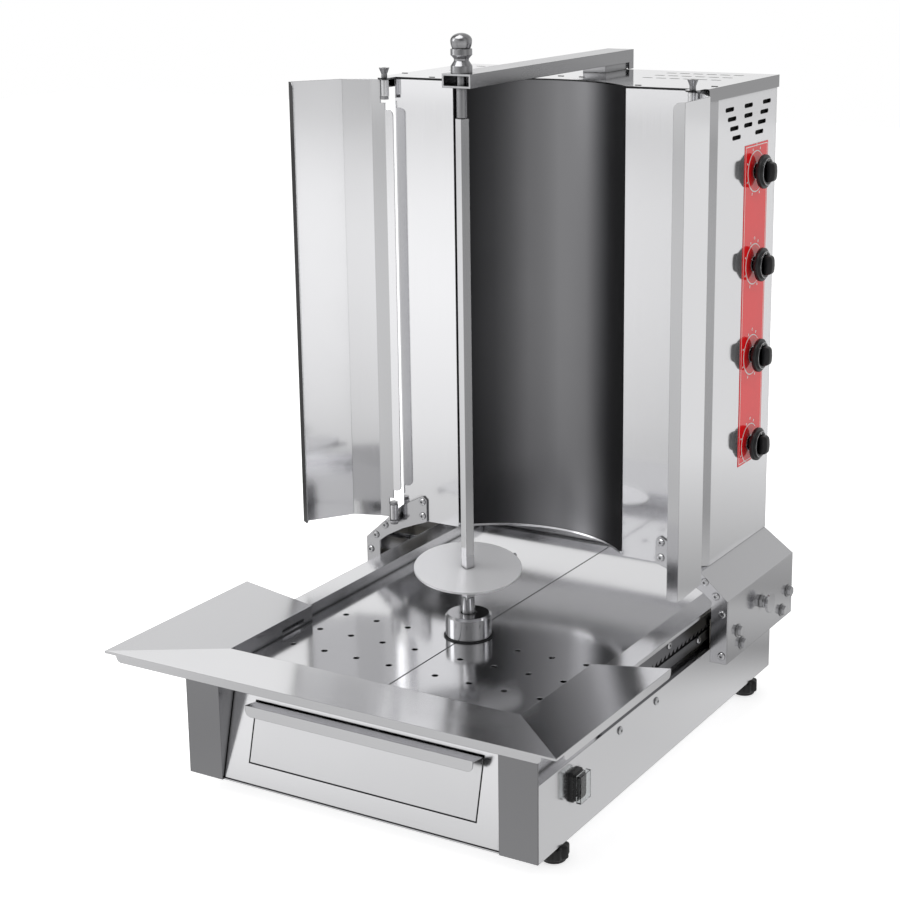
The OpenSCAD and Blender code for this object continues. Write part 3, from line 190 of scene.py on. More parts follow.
def stainless(name, shade, roughness, grain_along, scratch=0.03, relief=0.01,
              painted_facing_shades=((-1, 1), (1, 1)), painted_front_shade=1.0, edge=edge_share, metallic=1.0):
    """Belt-brushed or bright sheet whose scratches run along one axis."""
    material, tree, shader, place = new_material(name)
    across = 1 / (grain_mm * mm)
    along = 1 / (grain_run_mm * mm)
    stretch = [along if axis == grain_along else across for axis in "xyz"]
    drawn = add_node(tree, "ShaderNodeMapping", {"Scale": stretch}, {"Vector": place})
    grain = add_node(tree, "ShaderNodeTexNoise", {"Scale": 1, "Detail": 3, "Roughness": 0.6},
                     {"Vector": drawn.outputs[0]}).outputs["Fac"]
    marks = add_node(tree, "ShaderNodeTexNoise",
                     {"Scale": 1 / (cloud_mm * mm), "Detail": 3, "Roughness": 0.55},
                     {"Vector": place}).outputs["Fac"]
    tone = add_node(tree, "ShaderNodeMapRange",
                    {"From Min": noise_low, "From Max": noise_high,
                     "To Min": grain_tones[0], "To Max": grain_tones[1]}, {"Value": grain})
    normal = add_node(tree, "ShaderNodeTexCoord").outputs["Normal"]
    facing = add_node(tree, "ShaderNodeSeparateXYZ", links={0: normal}).outputs
    # Painted light and shade by facing: the ramp below sets each fold's tone by its normal's x.
    turn = add_node(tree, "ShaderNodeMapRange", {"From Min": -1, "From Max": 1},
                    {"Value": facing["X"]})
    film = add_node(tree, "ShaderNodeValToRGB", links={"Fac": turn.outputs[0]},
                    stops=[((x + 1) / 2, level) for x, level in painted_facing_shades])
    film.color_ramp.interpolation = "CONSTANT"
    # Painted shade on faces that look to the front, such as cut edges and slot walls.
    front = add_node(tree, "ShaderNodeMapRange",
                     {"From Min": front_turn[0], "From Max": front_turn[1],
                      "To Min": painted_front_shade, "To Max": 1}, {"Value": facing["Y"]})
    # Painted shade on edges and folds: the tone drops where the rounded normal turns away from the
    # flat one.
    rounded = add_node(tree, "ShaderNodeBevel",
                       {"samples": rays, "Radius": edge_round}).outputs[0]
    flat = add_node(tree, "ShaderNodeNewGeometry").outputs["True Normal"]
    bend = add_node(tree, "ShaderNodeVectorMath", {"operation": "DOT_PRODUCT"},
                    {0: rounded, 1: flat})
    painted_edge_shade = add_node(tree, "ShaderNodeMapRange",
                         {"From Min": edge_bend[0], "From Max": edge_bend[1],
                          "To Min": edge, "To Max": 1}, {"Value": bend.outputs["Value"]})
    # Painted shade in seams and corners, where nearby parts close in.
    nook = add_node(tree, "ShaderNodeAmbientOcclusion",
                    {"samples": rays, "Distance": nook_reach})
    painted_seam_shade = add_node(tree, "ShaderNodeMapRange",
                         {"From Min": nook_open[0], "From Max": nook_open[1],
                          "To Min": nook_share, "To Max": 1}, {"Value": nook.outputs["AO"]})
    shown = tone.outputs[0]
    for share in (front, film, painted_edge_shade, painted_seam_shade):
        shown = add_node(tree, "ShaderNodeMath", {"operation": "MULTIPLY"},
                         {0: shown, 1: share.outputs[0]}).outputs[0]
    colour = add_node(tree, "ShaderNodeMixRGB",
                      {"blend_type": "MULTIPLY", "Fac": 1, 1: linear(shade)}, {2: shown})
    scratched = add_node(tree, "ShaderNodeMapRange",
                         {"From Min": noise_low, "From Max": noise_high,
                          "To Min": roughness - scratch / 2,
                          "To Max": roughness + scratch / 2}, {"Value": grain})
    clouded = add_node(tree, "ShaderNodeMapRange",
                       {"From Min": cloud_low, "From Max": cloud_high,
                        "To Min": -cloud / 2, "To Max": cloud / 2}, {"Value": marks})
    total = add_node(tree, "ShaderNodeMath", {"operation": "ADD"},
                     {0: scratched.outputs[0], 1: clouded.outputs[0]})
    bump = add_node(tree, "ShaderNodeBump",
                    {"Strength": relief, "Distance": grain_depth_mm * mm},
                    {"Height": grain, "Normal": rounded})
    shader.inputs["Metallic"].default_value = metallic
    tree.links.new(colour.outputs[0], shader.inputs["Base Color"])
    tree.links.new(total.outputs[0], shader.inputs["Roughness"])
    tree.links.new(bump.outputs[0], shader.inputs["Normal"])
    return material


print("grain:", grain_mm, "by", grain_run_mm, "mm, clouds:", cloud_mm, "mm")

# %% Sheets and bars
sheet_up = stainless("bright_304_sheet_upright", "#F4F4F6", 0.1, "z")
# Painted light and shade by facing: the lists below darken single folds and faces of the column side,
# the wings and the skewer bar.
sheet_side = stainless("bright_304_sheet_column_side", "#EEEEF0", 0.08, "z",
                       painted_facing_shades=((-1, 1), (0.8, 0.9), (0.95, 1)), metallic=0.88)
wing_left_sheet = stainless("bright_304_sheet_left_wing", "#F0F0F2", 0.1, "z",
                            painted_facing_shades=((-1, 0.25), (-0.3, 1), (0.05, 0.72), (0.2, 1)))
wing_right_sheet = stainless("bright_304_sheet_right_wing", "#F0F0F2", 0.1, "z",
                             painted_facing_shades=((-1, 1), (-0.1, 0.78), (0.5, 1)))
sheet_deep = stainless("brushed_304_sheet_front_to_back", "#E2E2E4", 0.18, "y")
sheet_wide = stainless("brushed_304_sheet_side_to_side", "#ECECEE", 0.17, "x")
drawer_sheet = stainless("brushed_304_sheet_drawer", "#E6E6E8", 0.24, "x")
skewer_bar = stainless("drawn_304_square_bar", "#DEDEE0", 0.1, "z", edge=0.85,
                       painted_facing_shades=((-1, 1), (0, 0.72)))
# Painted shade: the cover's side flanges and the arm's sides are darkened by their facing, the
# cover's front faces nearly to black, and the arm bar's darker shade stands for its darker
# reflection.
sheet_cover = stainless("bright_304_sheet_cover", "#E6E6E8", 0.08, "y",
                        painted_facing_shades=((-1, 0.45), (-0.9, 1), (0.9, 0.45)), painted_front_shade=0.05)
arm_bar = stainless("brushed_304_bar_arm", "#C2C2C4", 0.26, "y",
                    painted_facing_shades=((-1, 0.62), (-0.9, 1), (0.9, 0.62)))
plate_mirror = stainless("polished_304_drip_plate", "#E2E2E4", 0.13, "y", scratch=0.02)
# Painted reflection: the posts' darker shade stands for the dark floor in front that they mirror.
post_dark = stainless("brushed_304_posts_painted_dark_reflection", "#9A9A9C", 0.22, "z")
# Painted reflection: the carriage covers, the turned pieces and the finial get darker shades than the
# bright sheet, which stand for the darker reflections they show.
carriage_dark = stainless("brushed_304_sheet_carriage", "#D2D2D4", 0.16, "z")
rail_dark = stainless("zinc_plated_rack_steel", "#77777A", 0.3, "y")
turned = stainless("turned_304_bar", "#B2B2B4", 0.14, "z", edge=0.8)
finial_steel = stainless("turned_304_finial", "#9A9A9C", 0.16, "z", edge=0.7)
disc_polish = stainless("satin_304_disc", "#E4E4E6", 0.34, "x", relief=0.008, metallic=0.45)
fastener = stainless("bright_zinc_fastener", "#CFCFD1", 0.14, "x", edge=0.6)
print("steel materials:", len(bpy.data.materials))

# %% [markdown]
# ## Black glass ceramic
# The curved heating glass is a glass ceramic tinted black all through. Its skin is not a
# clear mirror: a fine texture spreads the light, so the hollow of the curve carries one
# soft grey band and falls off to black at both sides. A mirror of dark metal with a broad
# gloss gives this, and the band is a painted reflection in its colour, grey in the middle
# and black towards the two upright borders. Slow haze stays where fat has been wiped away.

# %% Heating glass
haze_mm = 70
glass_low, glass_high = 0.29, 0.33
# Painted reflection: the glass's colour is grey in the middle, where the soft band shows, and black
# towards its borders.
painted_glass_band = ((0, "#858587"), (0.35, "#79797B"), (0.7, "#4A4A4C"), (1, "#1E1E1F"))


def glass_ceramic():
    """Dark satin glass, with a painted grey reflection in the middle and black towards its borders.
    """
    material, tree, shader, place = new_material("black_glass_ceramic")
    haze = add_node(tree, "ShaderNodeTexNoise", {"Scale": 1 / (haze_mm * mm), "Detail": 4},
                    {"Vector": place})
    gloss = add_node(tree, "ShaderNodeMapRange",
                     {"From Min": noise_low, "From Max": noise_high,
                      "To Min": glass_low, "To Max": glass_high},
                     {"Value": haze.outputs["Fac"]})
    low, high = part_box("glass_panel")
    parts = add_node(tree, "ShaderNodeSeparateXYZ", links={0: place}).outputs
    off_middle = add_node(tree, "ShaderNodeMath", {"operation": "ABSOLUTE"}, {0: parts["X"]})
    share = add_node(tree, "ShaderNodeMath",
                     {"operation": "DIVIDE", 1: (high[0] - low[0]) / 2},
                     {0: off_middle.outputs[0]})
    tone = add_node(tree, "ShaderNodeValToRGB", links={"Fac": share.outputs[0]},
                    stops=[(at, linear(grey)) for at, grey in painted_glass_band])
    shader.inputs["Metallic"].default_value = 1
    tree.links.new(tone.outputs[0], shader.inputs["Base Color"])
    tree.links.new(gloss.outputs[0], shader.inputs["Roughness"])
    return material


heating_glass = glass_ceramic()
print("glass roughness:", glass_low, "to", glass_high)

# %% [markdown]
# ## Moulded plastics and rubber
# Knobs, feet and the switch are moulded in black nylon or ABS. The mould is spark
# eroded, which leaves a skin of tiny pits, so the black shows a grey sheen and no sharp
# mirror. The feet and the ring round the hub are duller. The pits are about a third of
# a millimetre across, drawn a little coarser so that they show.

# %% Black mouldings
wear_mm = 12
wear = 0.05
pit_depth_mm = 0.05


def moulded(name, colour, roughness, pit_mm=0.5, relief=0.12):
    """Spark-eroded moulding with fine pits and slightly uneven gloss."""
    material, tree, shader, place = new_material(name)
    pits = add_node(tree, "ShaderNodeTexNoise", {"Scale": 1 / (pit_mm * mm), "Detail": 2},
                    {"Vector": place})
    worn = add_node(tree, "ShaderNodeTexNoise", {"Scale": 1 / (wear_mm * mm), "Detail": 3},
                    {"Vector": place})
    gloss = add_node(tree, "ShaderNodeMapRange",
                     {"From Min": noise_low, "From Max": noise_high,
                      "To Min": roughness - wear, "To Max": roughness + wear},
                     {"Value": worn.outputs["Fac"]})
    rounded = add_node(tree, "ShaderNodeBevel", {"samples": 4, "Radius": edge_round})
    bump = add_node(tree, "ShaderNodeBump",
                    {"Strength": relief, "Distance": pit_depth_mm * mm},
                    {"Height": pits.outputs["Fac"], "Normal": rounded.outputs[0]})
    shader.inputs["Base Color"].default_value = linear(colour)
    tree.links.new(gloss.outputs[0], shader.inputs["Roughness"])
    tree.links.new(bump.outputs[0], shader.inputs["Normal"])
    return material


knob_nylon = moulded("black_nylon_knob", "#141416", 0.36)
foot_nylon = moulded("black_nylon_foot", "#101011", 0.5)
switch_abs = moulded("black_abs_switch", "#0C0C0D", 0.28, relief=0.06)
seal_rubber = moulded("black_silicone_seal", "#17171A", 0.55)
slider_nylon = moulded("natural_nylon_slider", "#D8D4C8", 0.5)
regulator_ceramic = moulded("steatite_ceramic", "#D6CDBB", 0.55, pit_mm=0.8)
motor_enamel = moulded("grey_motor_enamel", "#4A4D52", 0.4, pit_mm=1.5)
print("materials so far:", len(bpy.data.materials))

# %% [markdown]
# ## Clear cap
# A cap of clear polycarbonate keeps fat off the rocker. It is drawn with a lower
# refractive index than the solid plastic has, because its thin walls hardly bend light,
# and wiping leaves it uneven in gloss.

# %% Clear cap
wipe_mm = 6
cap_gloss = (0.02, 0.1)
cap_index = 1.3


def clear_cover():
    """Clear polycarbonate cap over the rocker, with faint wipe marks."""
    material, tree, shader, place = new_material("clear_polycarbonate_cap")
    wiped = add_node(tree, "ShaderNodeTexNoise", {"Scale": 1 / (wipe_mm * mm), "Detail": 2},
                     {"Vector": place})
    gloss = add_node(tree, "ShaderNodeMapRange",
                     {"To Min": cap_gloss[0], "To Max": cap_gloss[1]},
                     {"Value": wiped.outputs["Fac"]})
    shader.inputs["Base Color"].default_value = linear("#F4F6F6")
    shader.inputs["Transmission Weight"].default_value = 1
    shader.inputs["IOR"].default_value = cap_index
    tree.links.new(gloss.outputs[0], shader.inputs["Roughness"])
    return material


cap_clear = clear_cover()
print("refractive index of the cap:", cap_index)

# %% [markdown]
# ## The printed control strip
# A polycarbonate film is printed red on its back and stuck to the steel, so the red lies
# under a clear gloss. Round each knob it has a scale of short strokes, a thin arc that
# grows with the heat, and a small ring for off. The marks repeat at each knob, so one pattern
# is worked out from the distance to the nearest knob's centre. Each row of the table is
# one sum: the name of its result, what it does, and the names or numbers that go in.

# %% Sizes and sums of the printed marks
strip_low, strip_high = (Vector(corner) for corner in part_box("control_label"))
knob_low, knob_high = (Vector(corner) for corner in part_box("knob_1"))
knob_two_low = Vector(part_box("knob_2")[0])
knob_centre = (knob_low + knob_high) / 2
knob_step = knob_two_low.z - knob_low.z
arc_in_mm = 26
arc_thin_mm = 0.3
arc_grows_mm = 2.2
stroke_in_mm, stroke_out_mm = 29.5, 33
stroke_turn = 0.035
off_ring_mm = 34.5
off_in_mm, off_out_mm = 1.0, 1.9
border_mm = 2.2
line_mm = 1.1
speck_mm = 9
strip_gloss = (0.03, 0.06)
strip_index = 1.58
eighth = math.radians(45)
strip_half = (strip_high - strip_low) / 2
strip_middle = (strip_high.z + strip_low.z) / 2
mark_sums = (
    ("side", "SUBTRACT", "place_y", knob_centre.y),
    ("rise", "SUBTRACT", "place_z", knob_centre.z - knob_step / 2),
    ("rise_here", "MODULO", "rise", knob_step),
    ("height", "SUBTRACT", "rise_here", knob_step / 2),
    ("side_squared", "MULTIPLY", "side", "side"),
    ("height_squared", "MULTIPLY", "height", "height"),
    ("reach_squared", "ADD", "side_squared", "height_squared"),
    ("reach", "SQRT", "reach_squared"),
    ("angle", "ARCTAN2", "height", "side"),
    ("turned", "ABSOLUTE", "angle"),
    ("turned_share", "DIVIDE", "turned", math.pi),
    ("arc_width", "MULTIPLY", "turned_share", arc_grows_mm * mm),
    ("arc_out", "ADD", "arc_width", (arc_in_mm + arc_thin_mm) * mm),
    ("past_arc_in", "GREATER_THAN", "reach", arc_in_mm * mm),
    ("before_arc_out", "LESS_THAN", "reach", "arc_out"),
    ("arc_band", "MULTIPLY", "past_arc_in", "before_arc_out"),
    ("arc_turn", "GREATER_THAN", "turned", eighth),
    ("arc", "MULTIPLY", "arc_band", "arc_turn"),
    ("angle_up", "ADD", "angle", 4 * eighth),
    ("angle_here", "MODULO", "angle_up", eighth),
    ("angle_off", "SUBTRACT", "angle_here", eighth / 2),
    ("swing", "ABSOLUTE", "angle_off"),
    ("on_stroke", "LESS_THAN", "swing", stroke_turn),
    ("past_stroke_in", "GREATER_THAN", "reach", stroke_in_mm * mm),
    ("before_stroke_out", "LESS_THAN", "reach", stroke_out_mm * mm),
    ("stroke_band", "MULTIPLY", "past_stroke_in", "before_stroke_out"),
    ("strokes", "MULTIPLY", "on_stroke", "stroke_band"),
    ("above_off", "SUBTRACT", "height", off_ring_mm * mm),
    ("above_off_squared", "MULTIPLY", "above_off", "above_off"),
    ("off_squared", "ADD", "side_squared", "above_off_squared"),
    ("off_reach", "SQRT", "off_squared"),
    ("off_disc", "LESS_THAN", "off_reach", off_out_mm * mm),
    ("off_hole", "LESS_THAN", "off_reach", off_in_mm * mm),
    ("off_ring", "SUBTRACT", "off_disc", "off_hole"),
    ("side_size", "ABSOLUTE", "side"),
    ("side_left", "SUBTRACT", strip_half.y, "side_size"),
    ("from_middle", "SUBTRACT", "place_z", strip_middle),
    ("from_middle_size", "ABSOLUTE", "from_middle"),
    ("height_left", "SUBTRACT", strip_half.z, "from_middle_size"),
    ("to_edge", "MINIMUM", "side_left", "height_left"),
    ("past_border", "GREATER_THAN", "to_edge", border_mm * mm),
    ("before_border", "LESS_THAN", "to_edge", (border_mm + line_mm) * mm),
    ("border", "MULTIPLY", "past_border", "before_border"),
    ("scale", "MAXIMUM", "arc", "strokes"),
    ("outline", "MAXIMUM", "off_ring", "border"),
    ("marks", "MAXIMUM", "scale", "outline"),
)
print("knob step:", round(knob_step / mm, 2), "mm, sums:", len(mark_sums))


# %% Control strip
def control_strip():
    """Red film with printed marks round each knob and a fine border."""
    material, tree, shader, place = new_material("red_printed_polycarbonate_film")
    parts = add_node(tree, "ShaderNodeSeparateXYZ", links={0: place}).outputs
    results = {"place_y": parts["Y"], "place_z": parts["Z"]}
    for name, operation, *sources in mark_sums:
        linked = {i: results[v] for i, v in enumerate(sources) if isinstance(v, str)}
        fixed = {i: v for i, v in enumerate(sources) if not isinstance(v, str)}
        results[name] = add_node(tree, "ShaderNodeMath", {"operation": operation, **fixed},
                                 linked).outputs[0]
    speck = add_node(tree, "ShaderNodeTexNoise", {"Scale": 1 / (speck_mm * mm), "Detail": 2},
                     {"Vector": place})
    ink = add_node(tree, "ShaderNodeMixRGB", {1: linear("#FF2228"), 2: linear("#FA191F")},
                   {"Fac": speck.outputs["Fac"]})
    colour = add_node(tree, "ShaderNodeMixRGB", {2: linear("#F3F1EE")},
                      {"Fac": results["marks"], 1: ink.outputs[0]})
    rough = add_node(tree, "ShaderNodeMapRange",
                     {"To Min": strip_gloss[0], "To Max": strip_gloss[1]},
                     {"Value": speck.outputs["Fac"]})
    shader.inputs["IOR"].default_value = strip_index
    tree.links.new(colour.outputs[0], shader.inputs["Base Color"])
    tree.links.new(rough.outputs[0], shader.inputs["Roughness"])
    return material


strip_red = control_strip()
print("strip:", [round(v / mm, 1) for v in strip_high - strip_low], "mm")

# %% [markdown]
# ## Dress the model's own parts
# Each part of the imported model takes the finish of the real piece. Where a part's shape
# is already right, only its material slot changes.

# %% Give each part its finish
finishes = {
    sheet_up: "column_left column_back",
    wing_left_sheet: "wing_left",
    wing_right_sheet: "wing_right",
    sheet_side: "column_right",
    sheet_deep: "base_side_left base_side_right apron access_plate drawer_box "
                "drawer_runners base_pan heat_reflector",
    sheet_wide: "plinth drawer_handle plate_bars column_floor motor_bracket",
    drawer_sheet: "drawer_front",
    skewer_bar: "skewer",
    sheet_cover: "top_cover",
    arm_bar: "top_arm arm_saddle",
    plate_mirror: "drip_plate_left drip_plate_right",
    carriage_dark: "carriage_cover_left carriage_cover_right carriage_plates",
    post_dark: "front_posts",
    rail_dark: "racks",
    turned: "hub_housing drive_coupling disc_collar disc_screw",
    finial_steel: "pull_pin hinge_pins",
    disc_polish: "meat_disc",
    fastener: "base_screws foot_studs cover_bolts plate_screws knob_bezels "
              "lock_knob_left lock_knob_right",
    heating_glass: "glass_panel",
    strip_red: "control_label",
    knob_nylon: "knob_1 knob_2 knob_3 knob_4",
    foot_nylon: "feet cable_gland",
    switch_abs: "switch_bezel rocker",
    seal_rubber: "hub_seal",
    slider_nylon: "carriage_sliders",
    regulator_ceramic: "heating_elements regulators",
    motor_enamel: "gear_motor",
    cap_clear: "switch_cover",
}
for material, names in finishes.items():
    for name in names.split():
        nodes[name].data.materials.clear()
        nodes[name].data.materials.append(material)
dressed = sum(len(names.split()) for names in finishes.values())
print("parts dressed:", dressed, "of", len(nodes))

# %% [markdown]
# ## Turned and moulded pieces
# A lathe or a mould makes most small parts, and both are rings of points joined into a
# skin. One function takes a list of rings and closes both ends, which covers a turned
# collar, a knob's skirt and its grip. Each new piece rides on the body that carries it.

# %% Skin a list of rings
def skin(name, rings, material, body, smooth=True):
    """Join rings of equal length into a closed skin and let it ride on a body."""
    form = bmesh.new()
    rows = [[form.verts.new(point) for point in ring] for ring in rings]
    count = len(rows[0])
    for row, following in zip(rows, rows[1:]):
        for i in range(count):
            k = (i + 1) % count
            form.faces.new((row[i], row[k], following[k], following[i]))
    form.faces.new(rows[0])
    form.faces.new(rows[-1])
    bmesh.ops.recalc_face_normals(form, faces=form.faces)
    for face in form.faces:
        face.smooth = smooth
    mesh = bpy.data.meshes.new(name)
    form.to_mesh(mesh)
    form.free()
    mesh.materials.append(material)
    piece = bpy.data.objects.new(name, mesh)
    bpy.context.scene.collection.objects.link(piece)
    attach(piece, body)
    return piece


def crease(piece, degrees=35):
    """Keep edges sharper than an angle crisp on a smooth piece."""
    with bpy.context.temp_override(object=piece, active_object=piece, selected_objects=[piece],
                                   selected_editable_objects=[piece]):
        bpy.ops.object.shade_smooth_by_angle(angle=math.radians(degrees))
    return piece


lathe_sides = 64


def turned_rings(profile, centre):
    """Rings round the x axis for a profile of (radius, height) in millimetres."""
    rings = []
    for radius, height in profile:
        ring = []
        for i in range(lathe_sides):
            a = 2 * math.pi * i / lathe_sides
            step = Vector((height * mm, radius * math.cos(a) * mm, radius * math.sin(a) * mm))
            ring.append(Vector(centre) + step)
        rings.append(ring)
    return rings


print("points in a turned ring:", lathe_sides)

# %% [markdown]
# ## Knobs
# A cooker knob is moulded in one piece: a skirt in two steps, which hides the hole and
# stands just off the panel, and a bar grip with a rounded end, which the fingers turn.
# The grip is a flat outline, swept across its thickness with its edges drawn in, so the
# edges come out rounded. A bright ring is let into the skirt's face, a white line shows
# where the knob stands, and a steel collar closes the hole round the shaft.

# %% Knob shapes
skirt_profile = (
    (8.0, -2.2), (8.0, 5.9), (20.6, 6.1), (21.8, 6.8), (22.4, 7.8), (22.4, 11.0), (22.1, 11.7),
    (21.3, 12.1), (19.9, 12.1), (19.4, 12.3), (19.1, 12.8), (18.9, 14.2), (18.5, 14.8), (17.8, 15.1),
    (14.5, 15.1), (13.9, 14.8), (13.2, 14.5), (6.0, 14.5),
)
trim_profile = ((16.8, 14.9), (17.0, 15.3), (17.9, 15.3), (18.1, 14.9))
collar_profile = ((11.0, 0.0), (11.0, 0.8), (10.2, 1.5), (7.0, 1.9), (6.4, 2.4))
grip_root = 13.5
grip_core = 8
grip_outline = (
    (13.5, -12.2), (17.5, -12.7), (21.0, -12.5), (23.2, -11.5), (24.7, -9.6), (25.4, -6.4), (25.8, 0),
    (25.4, 6.4), (24.7, 9.6), (23.2, 11.5), (21.0, 12.5), (17.5, 12.7), (13.5, 12.2),
)
grip_slices = ((-5.6, 1.4), (-5.3, 0.6), (-4.7, 0.15), (-4.0, 0), (4.0, 0), (4.7, 0.15), (5.3, 0.6),
               (5.6, 1.4))


def grip_rings(back):
    """The grip's outline, once for each slice across its thickness."""
    rings = []
    for across, drawn_in in grip_slices:
        ring = []
        for out, up in grip_outline:
            reach = math.hypot(out - grip_root, up)
            keep = 1 - drawn_in / max(reach, grip_core)
            step = (grip_root + (out - grip_root) * keep, across, up * keep)
            ring.append(back + Vector(step) * mm)
        rings.append(ring)
    return rings


print("grip slices:", len(grip_slices), "of", len(grip_outline), "points")

# %% Make the four knobs
mark_white = moulded("white_filled_mark", "#E9E9E6", 0.4, relief=0.02)
knob_count = 4
knob_depth = 26 * mm
mark_steps = ((14.9, 0.8, 13.6, 16.6), (15.4, 0.55, 13.85, 16.35))
for k in range(1, knob_count + 1):
    low, high = (Vector(corner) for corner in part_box(f"knob_{k}"))
    middle = (low + high) / 2
    back = Vector((high.x - knob_depth, middle.y, middle.z))
    body = f"heat_knob_{k}"
    skirt = crease(skin(f"knob_skirt_{k}", turned_rings(skirt_profile, back), knob_nylon, body))
    grip = crease(skin(f"knob_grip_{k}", grip_rings(back), knob_nylon, body))
    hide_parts(f"knob_{k}")
    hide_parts(f"knob_{k}")
    skin(f"knob_trim_{k}", turned_rings(trim_profile, back), fastener, body)
    panel = Vector((strip_high.x, middle.y, middle.z))
    collar = crease(skin(f"shaft_collar_{k}", turned_rings(collar_profile, panel), fastener,
                         "column"))
    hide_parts("knob_bezels")
    mark_rings = [[back + Vector((out, y, z)) * mm
                   for y, z in ((-half_wide, foot), (half_wide, foot), (half_wide, head),
                                (-half_wide, head))]
                  for out, half_wide, foot, head in mark_steps]
    skin(f"knob_mark_{k}", mark_rings, mark_white, body, smooth=False)
print("knobs:", knob_count)

# %% [markdown]
# ## Tabs on the cover
# Along the front edge of the top cover stand seven small slots, where tabs of the front
# panels come through and are bent over. Each tab is a short folded strip, near black for
# the shade in its slot: painted shade.

# %% Cover tabs
# Painted shade: the tabs are near black for the shade in their slots.
painted_slot_shade = moulded("tab_painted_slot_shade", "#1B1B1D", 0.4, relief=0.05)
cover_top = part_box("top_cover")[1][2]
tab_places = ((-236.3, 170.1), (-167.3, 129.6), (-16.6, 212.4), (16.3, 209.7), (136.2, 132.5),
              (174.5, 109.3), (231.0, 153.7))
tab_steps = ((0, 0), (0.35, 0), (0.6, 0.35))
tab_half_long, tab_half_wide = 4.2, 1.1
for k, (x, y) in enumerate(tab_places, 1):
    rings = []
    for height, drawn_in in tab_steps:
        half_long, half_wide = tab_half_long - drawn_in, tab_half_wide - drawn_in
        rings.append([Vector((x + u * half_long, y + v * half_wide, 0)) * mm
                      + Vector((0, 0, cover_top + height * mm))
                      for u, v in ((-1, -1), (1, -1), (1, 1), (-1, 1))])
    skin(f"cover_tab_{k}", rings, painted_slot_shade, "column", smooth=False)
print("cover tabs:", len(tab_places), "at", round(cover_top / mm, 1), "mm")

# %% [markdown]
# ## The switch's frame
# The frame round the rocker is one moulding in two steps with rounded corners: a body
# behind the panel, a broad flange against it, a narrower step that carries the clear
# cap, and a well for the rocker. Rounded rectangles, one for each step, skin the lot.

# %% Make the switch frame
def rounded_rectangle(centre, half_u, half_v, radius, axis="x", turns=6):
    """A ring with rounded corners across an axis, its sizes in millimetres."""
    ring = []
    for corner, (u, v) in enumerate(((1, 1), (-1, 1), (-1, -1), (1, -1))):
        for i in range(turns + 1):
            a = math.pi / 2 * (corner + i / turns)
            across = u * (half_u - radius) + radius * math.cos(a)
            up = v * (half_v - radius) + radius * math.sin(a)
            step = {"x": (0, across, up), "z": (across, up, 0)}[axis]
            ring.append(Vector(centre) + Vector(step) * mm)
    return ring


bezel_low, bezel_high = (Vector(corner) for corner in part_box("switch_bezel"))
bezel_middle = (bezel_low + bezel_high) / 2
half_width = (bezel_high.y - bezel_low.y) / 2 / mm
half_height = (bezel_high.z - bezel_low.z) / 2 / mm
bezel_steps = (
    (-26, -4.4, 1.0), (-9, -4.4, 1.0), (-9, 0.0, 4.5), (-5.2, 0.0, 4.5), (-4.5, -0.7, 4.2),
    (-4.3, -1.8, 3.4), (-0.8, -2.0, 3.2), (-0.2, -2.5, 2.8), (-0.2, -5.0, 1.0), (-18, -5.0, 1.0),
)
bezel_rings = [rounded_rectangle((bezel_high.x + out * mm, bezel_middle.y, bezel_middle.z),
                                 half_width + grow, half_height + grow, radius)
               for out, grow, radius in bezel_steps]
switch_frame = crease(skin("switch_frame", bezel_rings, switch_abs, "base"))
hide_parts("switch_bezel")
print("switch frame:", round(2 * half_width, 1), "by", round(2 * half_height, 1), "mm")

# %% [markdown]
# ## Shade pads behind the vents
# Behind the vent slots sit black pads, which stand for the shade inside the casing and
# make the slots look black: painted shade. Each pad is a thin slab with rounded corners
# and drawn-in edges, one behind the side vents and two below the cover's vents.

# %% Shade pads behind the vents
# Painted shade: the black pads stand for the shade inside the casing behind the vents.
vent_shade = moulded("black_painted_vent_shade", "#050506", 0.9, pit_mm=1.2, relief=0.4)
side_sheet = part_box("column_right")[1][0]
vent_shade_gap = 5 * mm
side_y, side_z = 247.0 * mm, 782.0 * mm
cover_x, cover_y = 150.0 * mm, 272.0 * mm
side_half, cover_half = (84, 31), (64, 47)
pad_radius = 6
pad_steps = ((-1.0, 1.0), (-0.6, 0.2), (0.6, 0.2), (1.0, 1.0))
pads = {
    "painted_vent_shade_side": ("x", (side_sheet - vent_shade_gap, side_y, side_z), side_half),
    "painted_vent_shade_right": ("z", (cover_x, cover_y, cover_top - vent_shade_gap), cover_half),
    "painted_vent_shade_left": ("z", (-cover_x, cover_y, cover_top - vent_shade_gap), cover_half),
}
for name, (axis, centre, (half_u, half_v)) in pads.items():
    lift = Vector((1, 0, 0) if axis == "x" else (0, 0, 1)) * mm
    rings = [rounded_rectangle(Vector(centre) + lift * up, half_u - drawn_in,
                               half_v - drawn_in, pad_radius, axis)
             for up, drawn_in in pad_steps]
    skin(name, rings, vent_shade, "column")
print("gauze pads:", len(pads))

# %% [markdown]
# ## Feet
# Each foot is moulded with eight lobes round its rim, so that fingers can turn it to
# level the machine. Below the rim a smaller round pad stands on the worktop.

